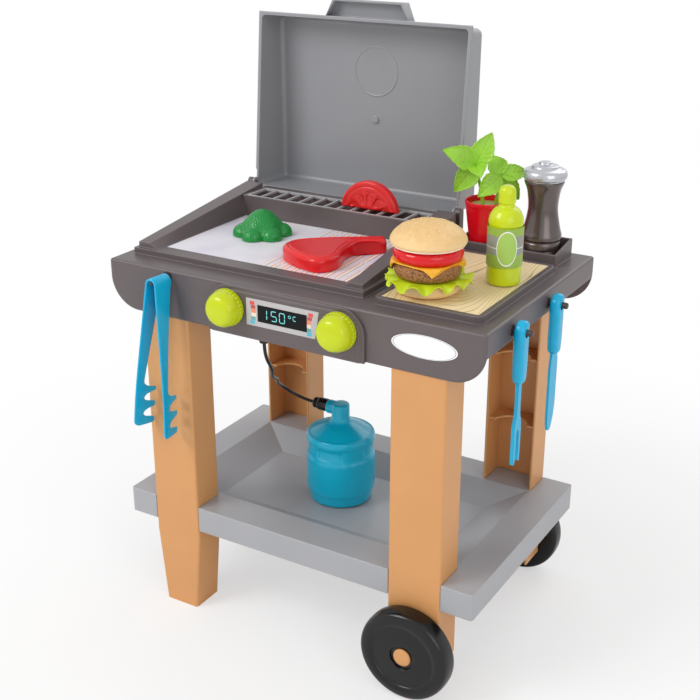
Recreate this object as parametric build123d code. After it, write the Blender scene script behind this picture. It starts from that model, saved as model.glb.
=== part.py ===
from build123d import *
import os
from math import asin, atan2, cos, degrees, pi, radians, sqrt, tan

# Toy barbecue trolley in millimetres. X runs to the right, Y to the rear and Z up. The sizes below
# count from the middle of the worktop and from the floor; save_all moves the origin at the end.

# Fits and mouldings that all pieces share
WALL = 2.5
SEAT_GAP = 0.3
RUNNING_FIT = 0.08
CARD = 0.6
CARD_FIT = 0.5
OVERRUN = 2.0

# Worktop
WORKTOP_WIDTH = 480.0
WORKTOP_DEPTH = 296.0
WORKTOP_TOP = 446.0
APRON_HEIGHT = 58.0
APRON_CORNER = 38.0
SKIRT_HEIGHT = 26.0
WORKTOP_EDGE = 3.0

# Raised plinth of the grill, at the left of the worktop
LEFT_MARGIN = 11.5
RIGHT_MARGIN = 17.0
FRONT_MARGIN = 31.0
REAR_MARGIN = 18.0
FIELD_GAP = 16.5
PLINTH_HEIGHT = 7.0
PLINTH_LEDGE = 3.5
RECESS = 1.0
PRINT_FRONT_INSET = 20.0
PRINT_SIDE_INSET = 1.0

# Cheeks on both sides of the grill, low at the front and high at the rear
CHEEK_FRONT_INSET = 5.0
CHEEK_REAR_INSET = 22.0
CHEEK_FRONT_HEIGHT = 6.0
CHEEK_REAR_HEIGHT = 31.5
CHEEK_BASE_WIDTH = 27.0
CHEEK_FRONT_TOP_WIDTH = 16.0
CHEEK_REAR_TOP_WIDTH = 24.0
CHEEK_POCKET_START = 37.0

# Grate and the housing that it lies in
HINGE_INSET = 12.0
REAR_LAND = 10.5
GRATE_DEPTH = 41.4
GRATE_THICKNESS = 2.5
GRATE_LIP = 1.5
GRATE_LEDGE = 3.5
GRATE_END_INSET = 2.0
GRATE_BARS = 14
GRATE_BAR_WIDTH = 2.6
GRATE_RAIL_WIDTH = 3.0
HOUSING_HEIGHT = 26.0
HOUSING_STEP_HEIGHT = 17.0
HOUSING_STEP_INSET = 2.0
EMBER_DEPTH = 21.0

# Lid, measured from its hinge axis while it is closed
LID_INSET = 5.0
LID_BACK = 6.0
LID_RIM_OFFSET = 4.0
LID_FRONT_INSET = 16.5
LID_DEPTH_HINGE = 60.0
LID_DEPTH_FREE = 43.0
LID_DRAFT_SHARE = 0.07
LID_CORNER = 8.0
LID_LIP = 1.5
LID_LIP_HEIGHT = 3.0
LID_LIP_START = 16.0
LID_LEAN = 5.0
LID_EAR_RADIUS = 6.0
LID_RING_RADIUS = 31.0
LID_RING_WIDTH = 1.4
LID_RING_HEIGHT = 0.8
LID_RING_REACH = 151.0
LID_NUB_REACH = 91.0
LID_NUB_RADIUS = 4.5
HANDLE_BASE_WIDTH = 120.0
HANDLE_TOP_WIDTH = 97.0
HANDLE_REACH = 22.0
HANDLE_DEPTH = 16.0
HANDLE_OFFSET = 8.0
POST_THICKNESS = 7.3
POST_RADIUS = 5.5
STUD_RADIUS = 2.5
STUD_LENGTH = 3.6

# Frame of the cutting board and spice bin, at the right of the worktop
BOARD_WIDTH = 124.0
BOARD_FRONT_MARGIN = 22.0
BOARD_BIN_GAP = 13.0
BOARD_HEIGHT = 8.0
BOARD_CORNER = 8.0
BOARD_RIM = 6.0
BIN_REAR_MARGIN = 15.0
BIN_DEPTH = 50.0
BIN_LEFT_STEP = 4.0
BIN_RIGHT_STEP = 6.0
BIN_FLOOR_RISE = 3.0
BIN_FRONT_RISE = 14.0
BIN_REAR_RISE = 21.5

# Control panel, knobs and display on the front apron
PANEL_WIDTH = 200.0
PANEL_OFFSET = 3.5
PANEL_TOP_GAP = 1.0
PANEL_THICKNESS = 3.5
PANEL_CORNER = 28.0
PANEL_STEP_INSET = 5.0
PANEL_STEP = 1.2
KNOB_SPACING = 142.5
KNOB_HEIGHT_ABOVE_APRON = 32.0
KNOB_RADIUS = 21.5
KNOB_LENGTH = 23.0
KNOB_SKIRT = 9.0
KNOB_ROUND = 10.0
KNOB_RIBS = 24
KNOB_RIB_RADIUS = 1.9
KNOB_SHAFT_RADIUS = 5.2
KNOB_BARB = 1.6
KNOB_BARB_LENGTH = 3.0
PLATE_WIDTH = 93.0
PLATE_HEIGHT = 31.0
PLATE_SLANT = 5.0
SCREEN_WIDTH = 63.0
SCREEN_HEIGHT = 19.0
SCREEN_THICKNESS = 0.4
BADGE_WIDTH = 75.0
BADGE_HEIGHT = 25.0

# Legs: four upright channels under the worktop
LEG_WIDTH = 65.0
LEG_DEPTH = 41.5
LEG_INSET = 43.0
LEG_CORNER = 3.0
LEG_TAPER = 9.0
LEG_TAPER_HEIGHT = 100.0
WHEEL_LEG_LIFT = 36.0
LEG_RIB_GAP = 88.0
LEG_RIB_SETBACK = 3.0
LEG_RIB_SCALLOP = 21.0

# Shelf tray between the legs
SHELF_SIDE_INSET = 4.0
SHELF_FRONT_INSET = 3.5
SHELF_TOP = 145.0
SHELF_SKIRT = 32.0
SHELF_SIDE_RIM = 41.5
SHELF_FRONT_RIM = 43.5
SHELF_SLOPE_X = 44.5
SHELF_SLOPE_Y = 35.0
SHELF_DROP = 20.0

# Wheels on the right pair of legs
WHEEL_RADIUS = 55.0
WHEEL_THICKNESS = 26.0
WHEEL_SIDE_GAP = 0.5
WHEEL_RIM_ROUND = 7.0
WHEEL_DISC_RADIUS = 37.5
WHEEL_DISC_RECESS = 3.0
WHEEL_HUB_RADIUS = 14.5
WHEEL_HUB_RECESS = 4.0
PIN_RADIUS = 4.0
PIN_HEAD_RADIUS = 10.7
PIN_HEAD = 4.0
PIN_DEPTH = 12.0
PIN_BOSS_WALL = 4.0
PIN_ROUND_SHARE = 0.6

# Gas bottle, its valve and the hose from the apron
BOTTLE_OFFSET_X = -20.0
BOTTLE_OFFSET_Y = 5.0
BOTTLE_RADIUS = 43.0
BOTTLE_HEIGHT = 106.0
VALVE_PLUG_RADIUS = 8.0
VALVE_PLUG_DEPTH = 12.0
VALVE_RADIUS = 13.5
VALVE_HEIGHT = 22.0
VALVE_ARM_RADIUS = 8.0
VALVE_ARM_REACH = 18.0
CONNECTOR_RADIUS = 7.5
CONNECTOR_LENGTH = 22.0
SLEEVE_WALL = 1.5
HOSE_DIAMETER = 4.0
HOSE_BEND_SHARE = 0.45
SOCKET_OFFSET_X = -37.0
SOCKET_OFFSET_Y = 18.0
SOCKET_RADIUS = 7.0
SOCKET_LENGTH = 13.0
SOCKET_FLANGE = 3.5
SOCKET_LUG_WIDTH = 22.0
SOCKET_LUG_LENGTH = 29.5
SOCKET_LUG_THICKNESS = 3.0

# Pegs, tongs, fork and knife
PEG_RADIUS = 3.5
PEG_FLANGE_RADIUS = 6.0
PEG_FLANGE = 1.5
PEG_ROUND_SHARE = 0.45
SIDE_PEG_LENGTH = 22.0
SIDE_PEG_DROP = 15.0
FORK_PEG_FRONT = 63.0
KNIFE_PEG_FRONT = 158.0
TONGS_PEG_RADIUS = 2.0
TONGS_PEG_INSET = 85.2
TONGS_PEG_DROP = 7.7
TONGS_STANDOFF = 16.7
TONGS_TURN = 5.0
TONGS_SWING = 5.4
TONGS_THICKNESS = 2.5
TONGS_FOLD_RADIUS = 5.5
TONGS_WIDTH = 26.0
TONGS_NECK_WIDTH = 11.0
TONGS_LENGTH = 190.0
TONGS_SPLAY = 6.5
TONGS_TWIST = 12.8
TONGS_CLAWS = 3
TONGS_CLAW_REACH = 28.0
TONGS_CLAW_PITCH = 22.0
TONGS_CLAW_ROOT = 9.0
TONGS_CLAW_TIP = 4.5
TONGS_NECK_END = 66.0
UTENSIL_LENGTH = 162.0
UTENSIL_HANDLE_LENGTH = 68.0
UTENSIL_HANDLE_WIDTH = 18.0
UTENSIL_HANDLE_THICKNESS = 12.0
UTENSIL_HOLE_DROP = 13.0
UTENSIL_SLANT = 7.0
UTENSIL_ROUND = 2.5
UTENSIL_SIDE_GAP = 2.0
FORK_SHAFT_WIDTH = 7.0
FORK_SHAFT_THICKNESS = 4.0
FORK_HEAD_WIDTH = 16.0
FORK_HEAD_LENGTH = 52.0
FORK_TINE_GAP = 5.4
FORK_TINE_LENGTH = 40.0
KNIFE_BLADE_WIDTH = 20.0
KNIFE_BLADE_THICKNESS = 2.5
KNIFE_TIP_SLANT = 16.0

# Sauce bottle and pepper mill
SAUCE_RADIUS = 18.7
SAUCE_HEIGHT = 106.0
SAUCE_RIGHT_INSET = 27.0
SAUCE_BURGER_GAP = 68.0
LABEL_LOW = 21.0
LABEL_HIGH = 64.0
MILL_RADIUS = 24.0
MILL_BODY_HEIGHT = 89.0
MILL_CAP_HEIGHT = 22.0
MILL_RIGHT_INSET = 28.8
MILL_SPIGOT_RADIUS = 7.0
MILL_SPIGOT_DEPTH = 10.0

# Pot of basil
POT_RADIUS = 26.0
POT_BASE_RADIUS = 18.5
POT_HEIGHT = 57.0
POT_LEFT_INSET = 23.5
POT_WALL = 2.0
POT_RIM_HEIGHT = 6.0
SOIL_THICKNESS = 3.0
SOIL_DEPTH = 7.0
STEM_RADIUS = 1.8
STEM_SOCKET = 2.0
BASIL_HEIGHT = 92.0
LEAF_THICKNESS = 1.4
LEAF_BEND_RADIUS = 60.0

# Burger on the cutting board, from the bottom up
BURGER_RIGHT_INSET = 83.0
BURGER_FRONT_INSET = 44.0
BOTTOM_BUN_RADIUS = 36.5
BOTTOM_BUN_HEIGHT = 16.0
LETTUCE_RADIUS = 46.0
LETTUCE_THICKNESS = 2.0
LETTUCE_FRILL_RADIUS = 10.0
LETTUCE_FRILLS = 12
PATTY_RADIUS = 37.0
PATTY_HEIGHT = 16.0
CHEESE_SIDE = 66.0
CHEESE_THICKNESS = 1.6
CHEESE_DROP = 10.0
CHEESE_TURN = -57.0
SLICE_RADIUS = 37.5
SLICE_HEIGHT = 14.0
TOP_BUN_RADIUS = 40.5
TOP_BUN_HEIGHT = 26.0
SESAME_SEEDS = 26
SESAME_LENGTH = 2.6
SESAME_REACH_SHARE = 0.62
SESAME_TURN = 137.5

# Food on the grill
MEAT_LENGTH = 123.0
MEAT_WIDTH = 91.5
MEAT_HEIGHT = 17.0
MEAT_ROUND = 4.5
MEAT_FRONT_GAP = 6.5
MEAT_SIDE_GAP = 14.2
VEGETABLE_RADIUS = 36.0
VEGETABLE_HEIGHT = 32.0
VEGETABLE_LOBES = 6
VEGETABLE_TURN = 33.0
VEGETABLE_CORE_SHARE = 0.55
VEGETABLE_LOBE_SHARE = 0.38
TOMATO_RADIUS = 39.5
TOMATO_RISE = 35.0
TOMATO_THICKNESS = 11.0

# Where the grill food lies, as shares of the printed field from its front left corner
VEGETABLE_PLACE_SHARES = (0.278, 0.615)
TOMATO_PLACE_SHARE = 0.687

# The chop slants across the field: radians for each length of its own that the field is deeper than
# the chop is wide. Its outline is in shares of its length and width, from the corner of the bone's
# line and its left end, then the rounding of each corner as a share of the length.
MEAT_SLANT_SHARE = 1.05
MEAT_SHARES = (
    (0.0, 0.67, 0.12), (0.12, 0.93, 0.12), (0.44, 1.0, 0.20), (1.0, 1.0, 0.035), (1.0, 0.785, 0.035),
    (0.72, 0.79, 0.10), (0.60, 0.54, 0.10), (0.53, 0.15, 0.11), (0.33, 0.0, 0.11), (0.11, 0.31, 0.20),
)

# Outlines of the turned pieces: radius and height as shares of the piece's own, then the rounding
# of that corner as a share of the radius.
GAS_BOTTLE_SHARES = (
    (0, 0, 0), (0.80, 0, 0.05), (0.80, 0.05, 0), (0.93, 0.075, 0.05), (1.0, 0.16, 0.05),
    (1.0, 0.43, 0.02), (0.965, 0.45, 0), (0.965, 0.49, 0), (1.0, 0.51, 0.02), (1.0, 0.60, 0.02),
    (0.965, 0.62, 0), (0.965, 0.66, 0), (1.0, 0.68, 0.02), (1.0, 0.84, 0.18), (0.55, 0.975, 0.05),
    (0.42, 0.975, 0), (0.42, 1.0, 0.02), (0, 1.0, 0),
)
GAS_CAVITY_SHARES = (
    (0, 0.035, 0), (0.90, 0.13, 0.05), (0.90, 0.82, 0.15), (0.48, 0.93, 0), (0, 0.93, 0),
)
SAUCE_SHARES = (
    (0, 0, 0), (0.97, 0, 0.10), (1.0, 0.03, 0), (1.0, 0.67, 0.25), (0.72, 0.755, 0.2),
    (0.52, 0.785, 0), (0.52, 0.80, 0), (0.56, 0.80, 0), (0.50, 0.97, 0.1), (0.44, 1.0, 0.1), (0, 1.0, 0),
)
SAUCE_CAVITY_SHARES = (
    (0, 0, 0), (0.85, 0, 0), (0.85, 0.65, 0.2), (0.36, 0.78, 0), (0.30, 0.95, 0), (0, 0.95, 0),
)
MILL_BODY_SHARES = (
    (0, 0, 0), (0.89, 0, 0.04), (0.92, 0.03, 0.04), (0.92, 0.085, 0.03), (0.87, 0.10, 0), (0.87, 0.115, 0),
    (0.92, 0.13, 0.03), (0.92, 0.20, 0.03), (0.89, 0.215, 0), (0.89, 0.23, 0), (0.965, 0.245, 0.03),
    (0.91, 0.34, 0.6), (0.73, 0.56, 1.2), (0.80, 0.86, 0.8), (0.92, 1.0, 0.03), (0, 1.0, 0),
)
MILL_CAP_SHARES = (
    (0, 0, 0), (0.96, 0, 0.03), (1.06, 0.20, 0.10), (1.00, 0.60, 0.14), (0.62, 0.72, 0.05),
    (0.56, 0.84, 0.05), (0.30, 0.87, 0), (0.30, 0.95, 0.05), (0.22, 1.0, 0.05), (0, 1.0, 0),
)
BOTTOM_BUN_SHARES = ((0, 0, 0), (0.86, 0, 0.15), (1.0, 0.5, 0.2), (0.93, 1.0, 0.06), (0, 1.0, 0))
PATTY_SHARES = ((0, 0, 0), (0.93, 0, 0.12), (1.0, 0.5, 0.2), (0.93, 1.0, 0.12), (0, 1.0, 0))
SLICE_SHARES = ((0, 0, 0), (0.95, 0, 0.12), (1.0, 0.5, 0.15), (0.95, 1.0, 0.12), (0, 1.0, 0))

# Basil leaves of each rosette: tip as shares of the plant's height from the middle of the soil, then
# the leaf's width as a share of its length. Every leaf starts at the rosette's heart.
BASIL_LARGE_HEART_SHARES = (-0.115, -0.14, 0.53)
BASIL_LARGE_SHARES = (
    ((-0.42, -0.46, 0.76), 0.62),
    ((0.06, 0.02, 0.93), 0.62),
    ((-0.36, -0.27, 0.20), 0.62),
    ((-0.08, -0.46, 0.46), 0.62),
)
BASIL_SMALL_HEART_SHARES = (0.17, 0.0, 0.41)
BASIL_SMALL_SHARES = (
    ((0.45, 0.24, 0.45), 0.62),
    ((0.37, 0.17, 0.08), 0.55),
    ((-0.02, -0.22, 0.15), 0.62),
    ((0.01, 0.13, 0.62), 0.62),
)
BASIL_LARGE_FOOT_SHARES = (-0.05, 0.0, 0.0)
BASIL_SMALL_FOOT_SHARES = (0.10, 0.0, 0.0)

# Route of the hose from the socket's mouth to the connector, chosen by hand
HOSE_ROUTE = (
    (-37.0, -130.0, 376.0),
    (-37.0, -130.0, 359.9),
    (-42.0, -107.6, 334.1),
    (-57.7, -87.5, 314.0),
    (-70.2, -57.0, 297.9),
    (-86.5, -36.0, 282.3),
    (-96.5, -9.5, 263.8),
    (-77.8, 5.0, 246.0),
    (-60.0, 5.0, 245.3),
)


def block(x_low, x_high, y_low, y_high, z_low, z_high):
    """An upright box between two limits on each axis."""
    box = Box(x_high - x_low, y_high - y_low, z_high - z_low, align=(Align.MIN,) * 3)
    return Pos(x_low, y_low, z_low) * box


def rod(start, end, radius):
    """A round bar from one point to another."""
    along = Vector(*end) - Vector(*start)
    bar = standing_disc(radius, along.length)
    return Plane(origin=start, z_dir=along) * bar


def lofted(first, last):
    """A body with straight sides between two flat outlines of equally many (x, y, z) corners."""
    ends = [make_face(Polyline(*outline, close=True)) for outline in (first, last)]
    return loft(ends, ruled=True)


def turned(shares, radius, height):
    """A body of revolution about Z from an outline in shares of its radius and height."""
    outline = make_face(Polyline(*[(r * radius, h * height) for r, h, _ in shares], close=True))
    for r, h, rounding in shares:
        if rounding:
            corner = outline.vertices().sort_by_distance((r * radius, h * height, 0))[0]
            outline = fillet(corner, rounding * radius)
    return revolve(Plane.XZ * outline, axis=Axis.Z)


def standing_disc(radius, height):
    """A disc that stands on the origin."""
    return Cylinder(radius, height, align=(Align.CENTER, Align.CENTER, Align.MIN))


def mirrored_about(shape, x):
    """The mirror image of a shape in the upright plane at x."""
    return mirror(shape, about=Plane.YZ.offset(x))


# Places that several pieces share
LEFT = -WORKTOP_WIDTH / 2
RIGHT = WORKTOP_WIDTH / 2
FRONT = -WORKTOP_DEPTH / 2
REAR = WORKTOP_DEPTH / 2
APRON_LOW = WORKTOP_TOP - APRON_HEIGHT
PLINTH_LEFT = LEFT + LEFT_MARGIN
PLINTH_RIGHT = RIGHT - RIGHT_MARGIN - BOARD_WIDTH - FIELD_GAP
PLINTH_FRONT = FRONT + FRONT_MARGIN
PLINTH_REAR = REAR - REAR_MARGIN
PLINTH_TOP = WORKTOP_TOP + PLINTH_HEIGHT
GRILL_X = (PLINTH_LEFT + PLINTH_RIGHT) / 2
CHEEK_HALF = (PLINTH_RIGHT - PLINTH_LEFT) / 2 - PLINTH_LEDGE
CHEEK_FRONT = PLINTH_FRONT + CHEEK_FRONT_INSET
CHEEK_REAR = PLINTH_REAR - CHEEK_REAR_INSET
CHEEK_FRONT_TOP = PLINTH_TOP + CHEEK_FRONT_HEIGHT
CHEEK_REAR_TOP = PLINTH_TOP + CHEEK_REAR_HEIGHT
FIELD_HALF = CHEEK_HALF - CHEEK_BASE_WIDTH
HINGE_Y = PLINTH_REAR - HINGE_INSET
REBATE_REAR = HINGE_Y - REAR_LAND
REBATE_FRONT = REBATE_REAR - GRATE_DEPTH - 2 * SEAT_GAP
HOUSING_FRONT = REBATE_FRONT - GRATE_LIP
HOUSING_TOP = PLINTH_TOP + HOUSING_HEIGHT
GRATE_LOW = HOUSING_TOP - GRATE_THICKNESS
EMBER_FLOOR = HOUSING_TOP - EMBER_DEPTH
PRINT_FRONT = PLINTH_FRONT + PRINT_FRONT_INSET
PRINT_HALF = FIELD_HALF - PRINT_SIDE_INSET
PRINT_FLOOR = PLINTH_TOP - RECESS
PRINT_TOP = PRINT_FLOOR + CARD
GRATE_HALF = FIELD_HALF - GRATE_END_INSET
CHEEK_SLOPE = atan2(CHEEK_REAR_TOP - CHEEK_FRONT_TOP, CHEEK_REAR - CHEEK_FRONT)
LID_HALF = CHEEK_HALF - LID_INSET
RIM_Z_AT_HINGE = CHEEK_FRONT_TOP + SEAT_GAP + (HINGE_Y - CHEEK_FRONT) * tan(CHEEK_SLOPE)
HINGE_Z = RIM_Z_AT_HINGE - LID_RIM_OFFSET / cos(CHEEK_SLOPE)
LID_REACH = (HINGE_Y - CHEEK_FRONT - LID_FRONT_INSET) / cos(CHEEK_SLOPE)
LID_SWING = 90 + LID_LEAN + degrees(CHEEK_SLOPE)
BOARD_LEFT = RIGHT - RIGHT_MARGIN - BOARD_WIDTH
BOARD_RIGHT = RIGHT - RIGHT_MARGIN
BOARD_FRONT = FRONT + BOARD_FRONT_MARGIN
BOARD_TOP = WORKTOP_TOP + BOARD_HEIGHT
BOARD_CARD_TOP = BOARD_TOP - RECESS + CARD
BIN_REAR = REAR - BIN_REAR_MARGIN
BIN_FRONT = BIN_REAR - BIN_DEPTH
BOARD_REAR = BIN_FRONT - BOARD_BIN_GAP
BIN_LEFT = BOARD_LEFT - BIN_LEFT_STEP
BIN_RIGHT = BOARD_RIGHT - BIN_RIGHT_STEP
BIN_FLOOR = WORKTOP_TOP + BIN_FLOOR_RISE
BIN_Y = (BIN_FRONT + BIN_REAR) / 2
PANEL_FACE = FRONT - PANEL_THICKNESS
STEP_FACE = PANEL_FACE - PANEL_STEP
BADGE_X = (PANEL_OFFSET + PANEL_WIDTH / 2 + RIGHT) / 2
KNOB_Z = APRON_LOW + KNOB_HEIGHT_ABOVE_APRON
KNOB_PLACES = (PANEL_OFFSET - KNOB_SPACING / 2, PANEL_OFFSET + KNOB_SPACING / 2)
LEG_OUTER = WORKTOP_WIDTH / 2 - LEG_INSET
LEG_INNER = LEG_OUTER - LEG_WIDTH
LEG_X = (LEG_OUTER + LEG_INNER) / 2
LEG_FACE = WORKTOP_DEPTH / 2 - WALL
LEG_BACK = LEG_FACE - LEG_DEPTH
LEG_TOP = WORKTOP_TOP - WALL
SHELF_RIM_UNDERSIDE = SHELF_TOP - WALL
SHELF_FLOOR = SHELF_TOP - SHELF_DROP
SHELF_HALF_X = WORKTOP_WIDTH / 2 - SHELF_SIDE_INSET
SHELF_HALF_Y = WORKTOP_DEPTH / 2 - SHELF_FRONT_INSET
WHEEL_INNER = LEG_FACE + WHEEL_SIDE_GAP
WHEEL_OUTER = WHEEL_INNER + WHEEL_THICKNESS
BOTTLE_TOP = SHELF_FLOOR + SEAT_GAP + BOTTLE_HEIGHT
VALVE_ARM_Z = BOTTLE_TOP + VALVE_HEIGHT - VALVE_ARM_RADIUS
SIDE_PEG_Z = WORKTOP_TOP - SIDE_PEG_DROP
TONGS_PEG_X = LEFT + TONGS_PEG_INSET
TONGS_PEG_Z = WORKTOP_TOP - TONGS_PEG_DROP
TONGS_Y = FRONT - TONGS_STANDOFF
TONGS_Z = TONGS_PEG_Z - TONGS_FOLD_RADIUS + TONGS_PEG_RADIUS + 2 * SEAT_GAP


def apron_shell():
    """The table's hollow skin: top, deep aprons at front and rear, low skirts at the sides."""
    skin = block(LEFT, RIGHT, FRONT, REAR, APRON_LOW, WORKTOP_TOP)
    skin = fillet(skin.edges().filter_by(Axis.Y).group_by(Axis.Z)[0], APRON_CORNER)
    outline = [
        edge
        for face in (skin.faces().sort_by(Axis.Y)[0], skin.faces().sort_by(Axis.Y)[-1])
        for edge in face.edges()
        if edge.center().Z > APRON_LOW
    ]
    sides = skin.edges().filter_by(Axis.Y).group_by(Axis.Z)[-1]
    skin = fillet(ShapeList(outline) + sides, WORKTOP_EDGE)
    skin -= block(
        LEFT + WALL, RIGHT - WALL, FRONT + WALL, REAR - WALL, APRON_LOW - OVERRUN, WORKTOP_TOP - WALL
    )
    return skin - block(
        LEFT - OVERRUN,
        RIGHT + OVERRUN,
        FRONT + WALL,
        REAR - WALL,
        APRON_LOW - OVERRUN,
        WORKTOP_TOP - SKIRT_HEIGHT,
    )


def cheek_section(y, top_width, top, base, inset):
    """Upright outline of the left cheek at y, drawn in by inset on its sides."""
    outer = GRILL_X - CHEEK_HALF + inset
    inner_low = GRILL_X - CHEEK_HALF + CHEEK_BASE_WIDTH - inset
    inner_top = GRILL_X - CHEEK_HALF + top_width - inset
    return [(outer, y, base), (inner_low, y, base), (inner_top, y, top), (outer, y, top)]


def cheek():
    """Left cheek, solid: its top climbs to the rear and its inner face leans outwards."""
    return lofted(
        cheek_section(CHEEK_FRONT, CHEEK_FRONT_TOP_WIDTH, CHEEK_FRONT_TOP, PLINTH_TOP, 0),
        cheek_section(CHEEK_REAR, CHEEK_REAR_TOP_WIDTH, CHEEK_REAR_TOP, PLINTH_TOP, 0),
    )


def cheek_pocket():
    """The hollow in the left cheek, open to the underside."""
    start = CHEEK_FRONT + CHEEK_POCKET_START
    share = CHEEK_POCKET_START / (CHEEK_REAR - CHEEK_FRONT)
    top_width = CHEEK_FRONT_TOP_WIDTH + share * (CHEEK_REAR_TOP_WIDTH - CHEEK_FRONT_TOP_WIDTH)
    top = CHEEK_FRONT_TOP + share * (CHEEK_REAR_TOP - CHEEK_FRONT_TOP)
    base = WORKTOP_TOP - WALL - OVERRUN
    return lofted(
        cheek_section(start, top_width, top - WALL, base, WALL),
        cheek_section(CHEEK_REAR - WALL, CHEEK_REAR_TOP_WIDTH, CHEEK_REAR_TOP - WALL, base, WALL),
    )


def hinge_post(side):
    """Round-topped post outside the lid, with the stud that the lid's ear turns on."""
    inner = GRILL_X + side * (LID_HALF + SEAT_GAP)
    outer = inner + side * POST_THICKNESS
    low, high = min(inner, outer), max(inner, outer)
    post = block(low, high, HINGE_Y - POST_RADIUS, HINGE_Y + POST_RADIUS, PLINTH_TOP - WALL, HINGE_Z)
    post += rod((low, HINGE_Y, HINGE_Z), (high, HINGE_Y, HINGE_Z), POST_RADIUS)
    tip = inner - side * STUD_LENGTH
    return post + rod((outer, HINGE_Y, HINGE_Z), (tip, HINGE_Y, HINGE_Z), STUD_RADIUS)


def grate_housing():
    """Raised box at the rear of the grill, with a low step behind the hinge."""
    reach = FIELD_HALF + WALL
    high = block(GRILL_X - reach, GRILL_X + reach, HOUSING_FRONT, HINGE_Y, PLINTH_TOP - WALL, HOUSING_TOP)
    low = block(
        GRILL_X - reach,
        GRILL_X + reach,
        HINGE_Y - WALL,
        PLINTH_REAR - HOUSING_STEP_INSET,
        PLINTH_TOP - WALL,
        PLINTH_TOP + HOUSING_STEP_HEIGHT,
    )
    return high + low


def housing_cuts():
    """Ember void, rebate for the grate and the pockets that keep the walls thin."""
    void = block(
        GRILL_X - FIELD_HALF + GRATE_END_INSET + GRATE_LEDGE,
        GRILL_X + FIELD_HALF - GRATE_END_INSET - GRATE_LEDGE,
        REBATE_FRONT + GRATE_LEDGE,
        REBATE_REAR - GRATE_LEDGE,
        EMBER_FLOOR,
        HOUSING_TOP + OVERRUN,
    )
    rebate = block(
        GRILL_X - GRATE_HALF - SEAT_GAP,
        GRILL_X + GRATE_HALF + SEAT_GAP,
        REBATE_FRONT,
        REBATE_REAR,
        GRATE_LOW,
        HOUSING_TOP + OVERRUN,
    )
    under_void = block(
        GRILL_X - FIELD_HALF + WALL,
        GRILL_X + FIELD_HALF - WALL,
        HOUSING_FRONT + WALL,
        REBATE_REAR,
        WORKTOP_TOP - WALL - OVERRUN,
        EMBER_FLOOR - WALL,
    )
    under_land = block(
        GRILL_X - FIELD_HALF,
        GRILL_X + FIELD_HALF,
        REBATE_REAR + WALL,
        HINGE_Y - WALL,
        WORKTOP_TOP - WALL - OVERRUN,
        HOUSING_TOP - WALL,
    )
    under_step = block(
        GRILL_X - FIELD_HALF,
        GRILL_X + FIELD_HALF,
        REBATE_REAR + WALL,
        PLINTH_REAR - HOUSING_STEP_INSET - WALL,
        WORKTOP_TOP - WALL - OVERRUN,
        PLINTH_TOP + HOUSING_STEP_HEIGHT - WALL,
    )
    return [void, rebate, under_void, under_land, under_step]


def spice_bin():
    """Open bin whose rim climbs to the rear."""
    front_top = WORKTOP_TOP + BIN_FRONT_RISE
    rear_top = WORKTOP_TOP + BIN_REAR_RISE
    base = WORKTOP_TOP - WALL

    def side(x):
        return [(x, BIN_FRONT, base), (x, BIN_REAR, base), (x, BIN_REAR, rear_top), (x, BIN_FRONT, front_top)]

    tub = lofted(side(BIN_LEFT), side(BIN_RIGHT))
    return tub - block(
        BIN_LEFT + WALL,
        BIN_RIGHT - WALL,
        BIN_FRONT + WALL,
        BIN_REAR - WALL,
        BIN_FLOOR,
        rear_top + OVERRUN,
    )


def knob_bore(x, front, rear):
    """The bore that a knob's shaft turns in."""
    return rod((x, front, KNOB_Z), (x, rear, KNOB_Z), KNOB_SHAFT_RADIUS + RUNNING_FIT)


def worktop():
    """The whole worktop moulding."""
    body = apron_shell()
    plinth = block(PLINTH_LEFT, PLINTH_RIGHT, PLINTH_FRONT, PLINTH_REAR, WORKTOP_TOP - WALL, PLINTH_TOP)
    board = block(BOARD_LEFT, BOARD_RIGHT, BOARD_FRONT, BOARD_REAR, WORKTOP_TOP - WALL, BOARD_TOP)
    board = fillet(board.edges().filter_by(Axis.Z), BOARD_CORNER)
    left_cheek = cheek()
    body += [plinth, board, left_cheek, mirrored_about(left_cheek, GRILL_X), grate_housing(), spice_bin()]
    pocket = cheek_pocket()
    body -= [
        pocket,
        mirrored_about(pocket, GRILL_X),
        block(
            PLINTH_LEFT + WALL,
            PLINTH_RIGHT - WALL,
            PLINTH_FRONT + WALL,
            PLINTH_REAR - WALL,
            WORKTOP_TOP - WALL - OVERRUN,
            PRINT_FLOOR - WALL,
        ),
        block(
            BOARD_LEFT + BOARD_RIM,
            BOARD_RIGHT - BOARD_RIM,
            BOARD_FRONT + BOARD_RIM,
            BOARD_REAR - BOARD_RIM,
            WORKTOP_TOP - WALL - OVERRUN,
            BOARD_TOP - RECESS - WALL,
        ),
    ]
    body -= housing_cuts()
    body -= block(
        GRILL_X - PRINT_HALF,
        GRILL_X + PRINT_HALF,
        PRINT_FRONT,
        HOUSING_FRONT,
        PRINT_FLOOR,
        PLINTH_TOP + OVERRUN,
    ) - left_cheek - mirrored_about(left_cheek, GRILL_X)
    body -= block(
        BOARD_LEFT + BOARD_RIM,
        BOARD_RIGHT - BOARD_RIM,
        BOARD_FRONT + BOARD_RIM,
        BOARD_REAR - BOARD_RIM,
        BOARD_TOP - RECESS,
        BOARD_TOP + OVERRUN,
    )
    body += [hinge_post(-1), hinge_post(1), socket_lug()]
    for x in KNOB_PLACES:
        body -= knob_bore(x, FRONT - OVERRUN, FRONT + WALL + OVERRUN)
    return body - utensil_pegs() - socket_hole()


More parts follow.
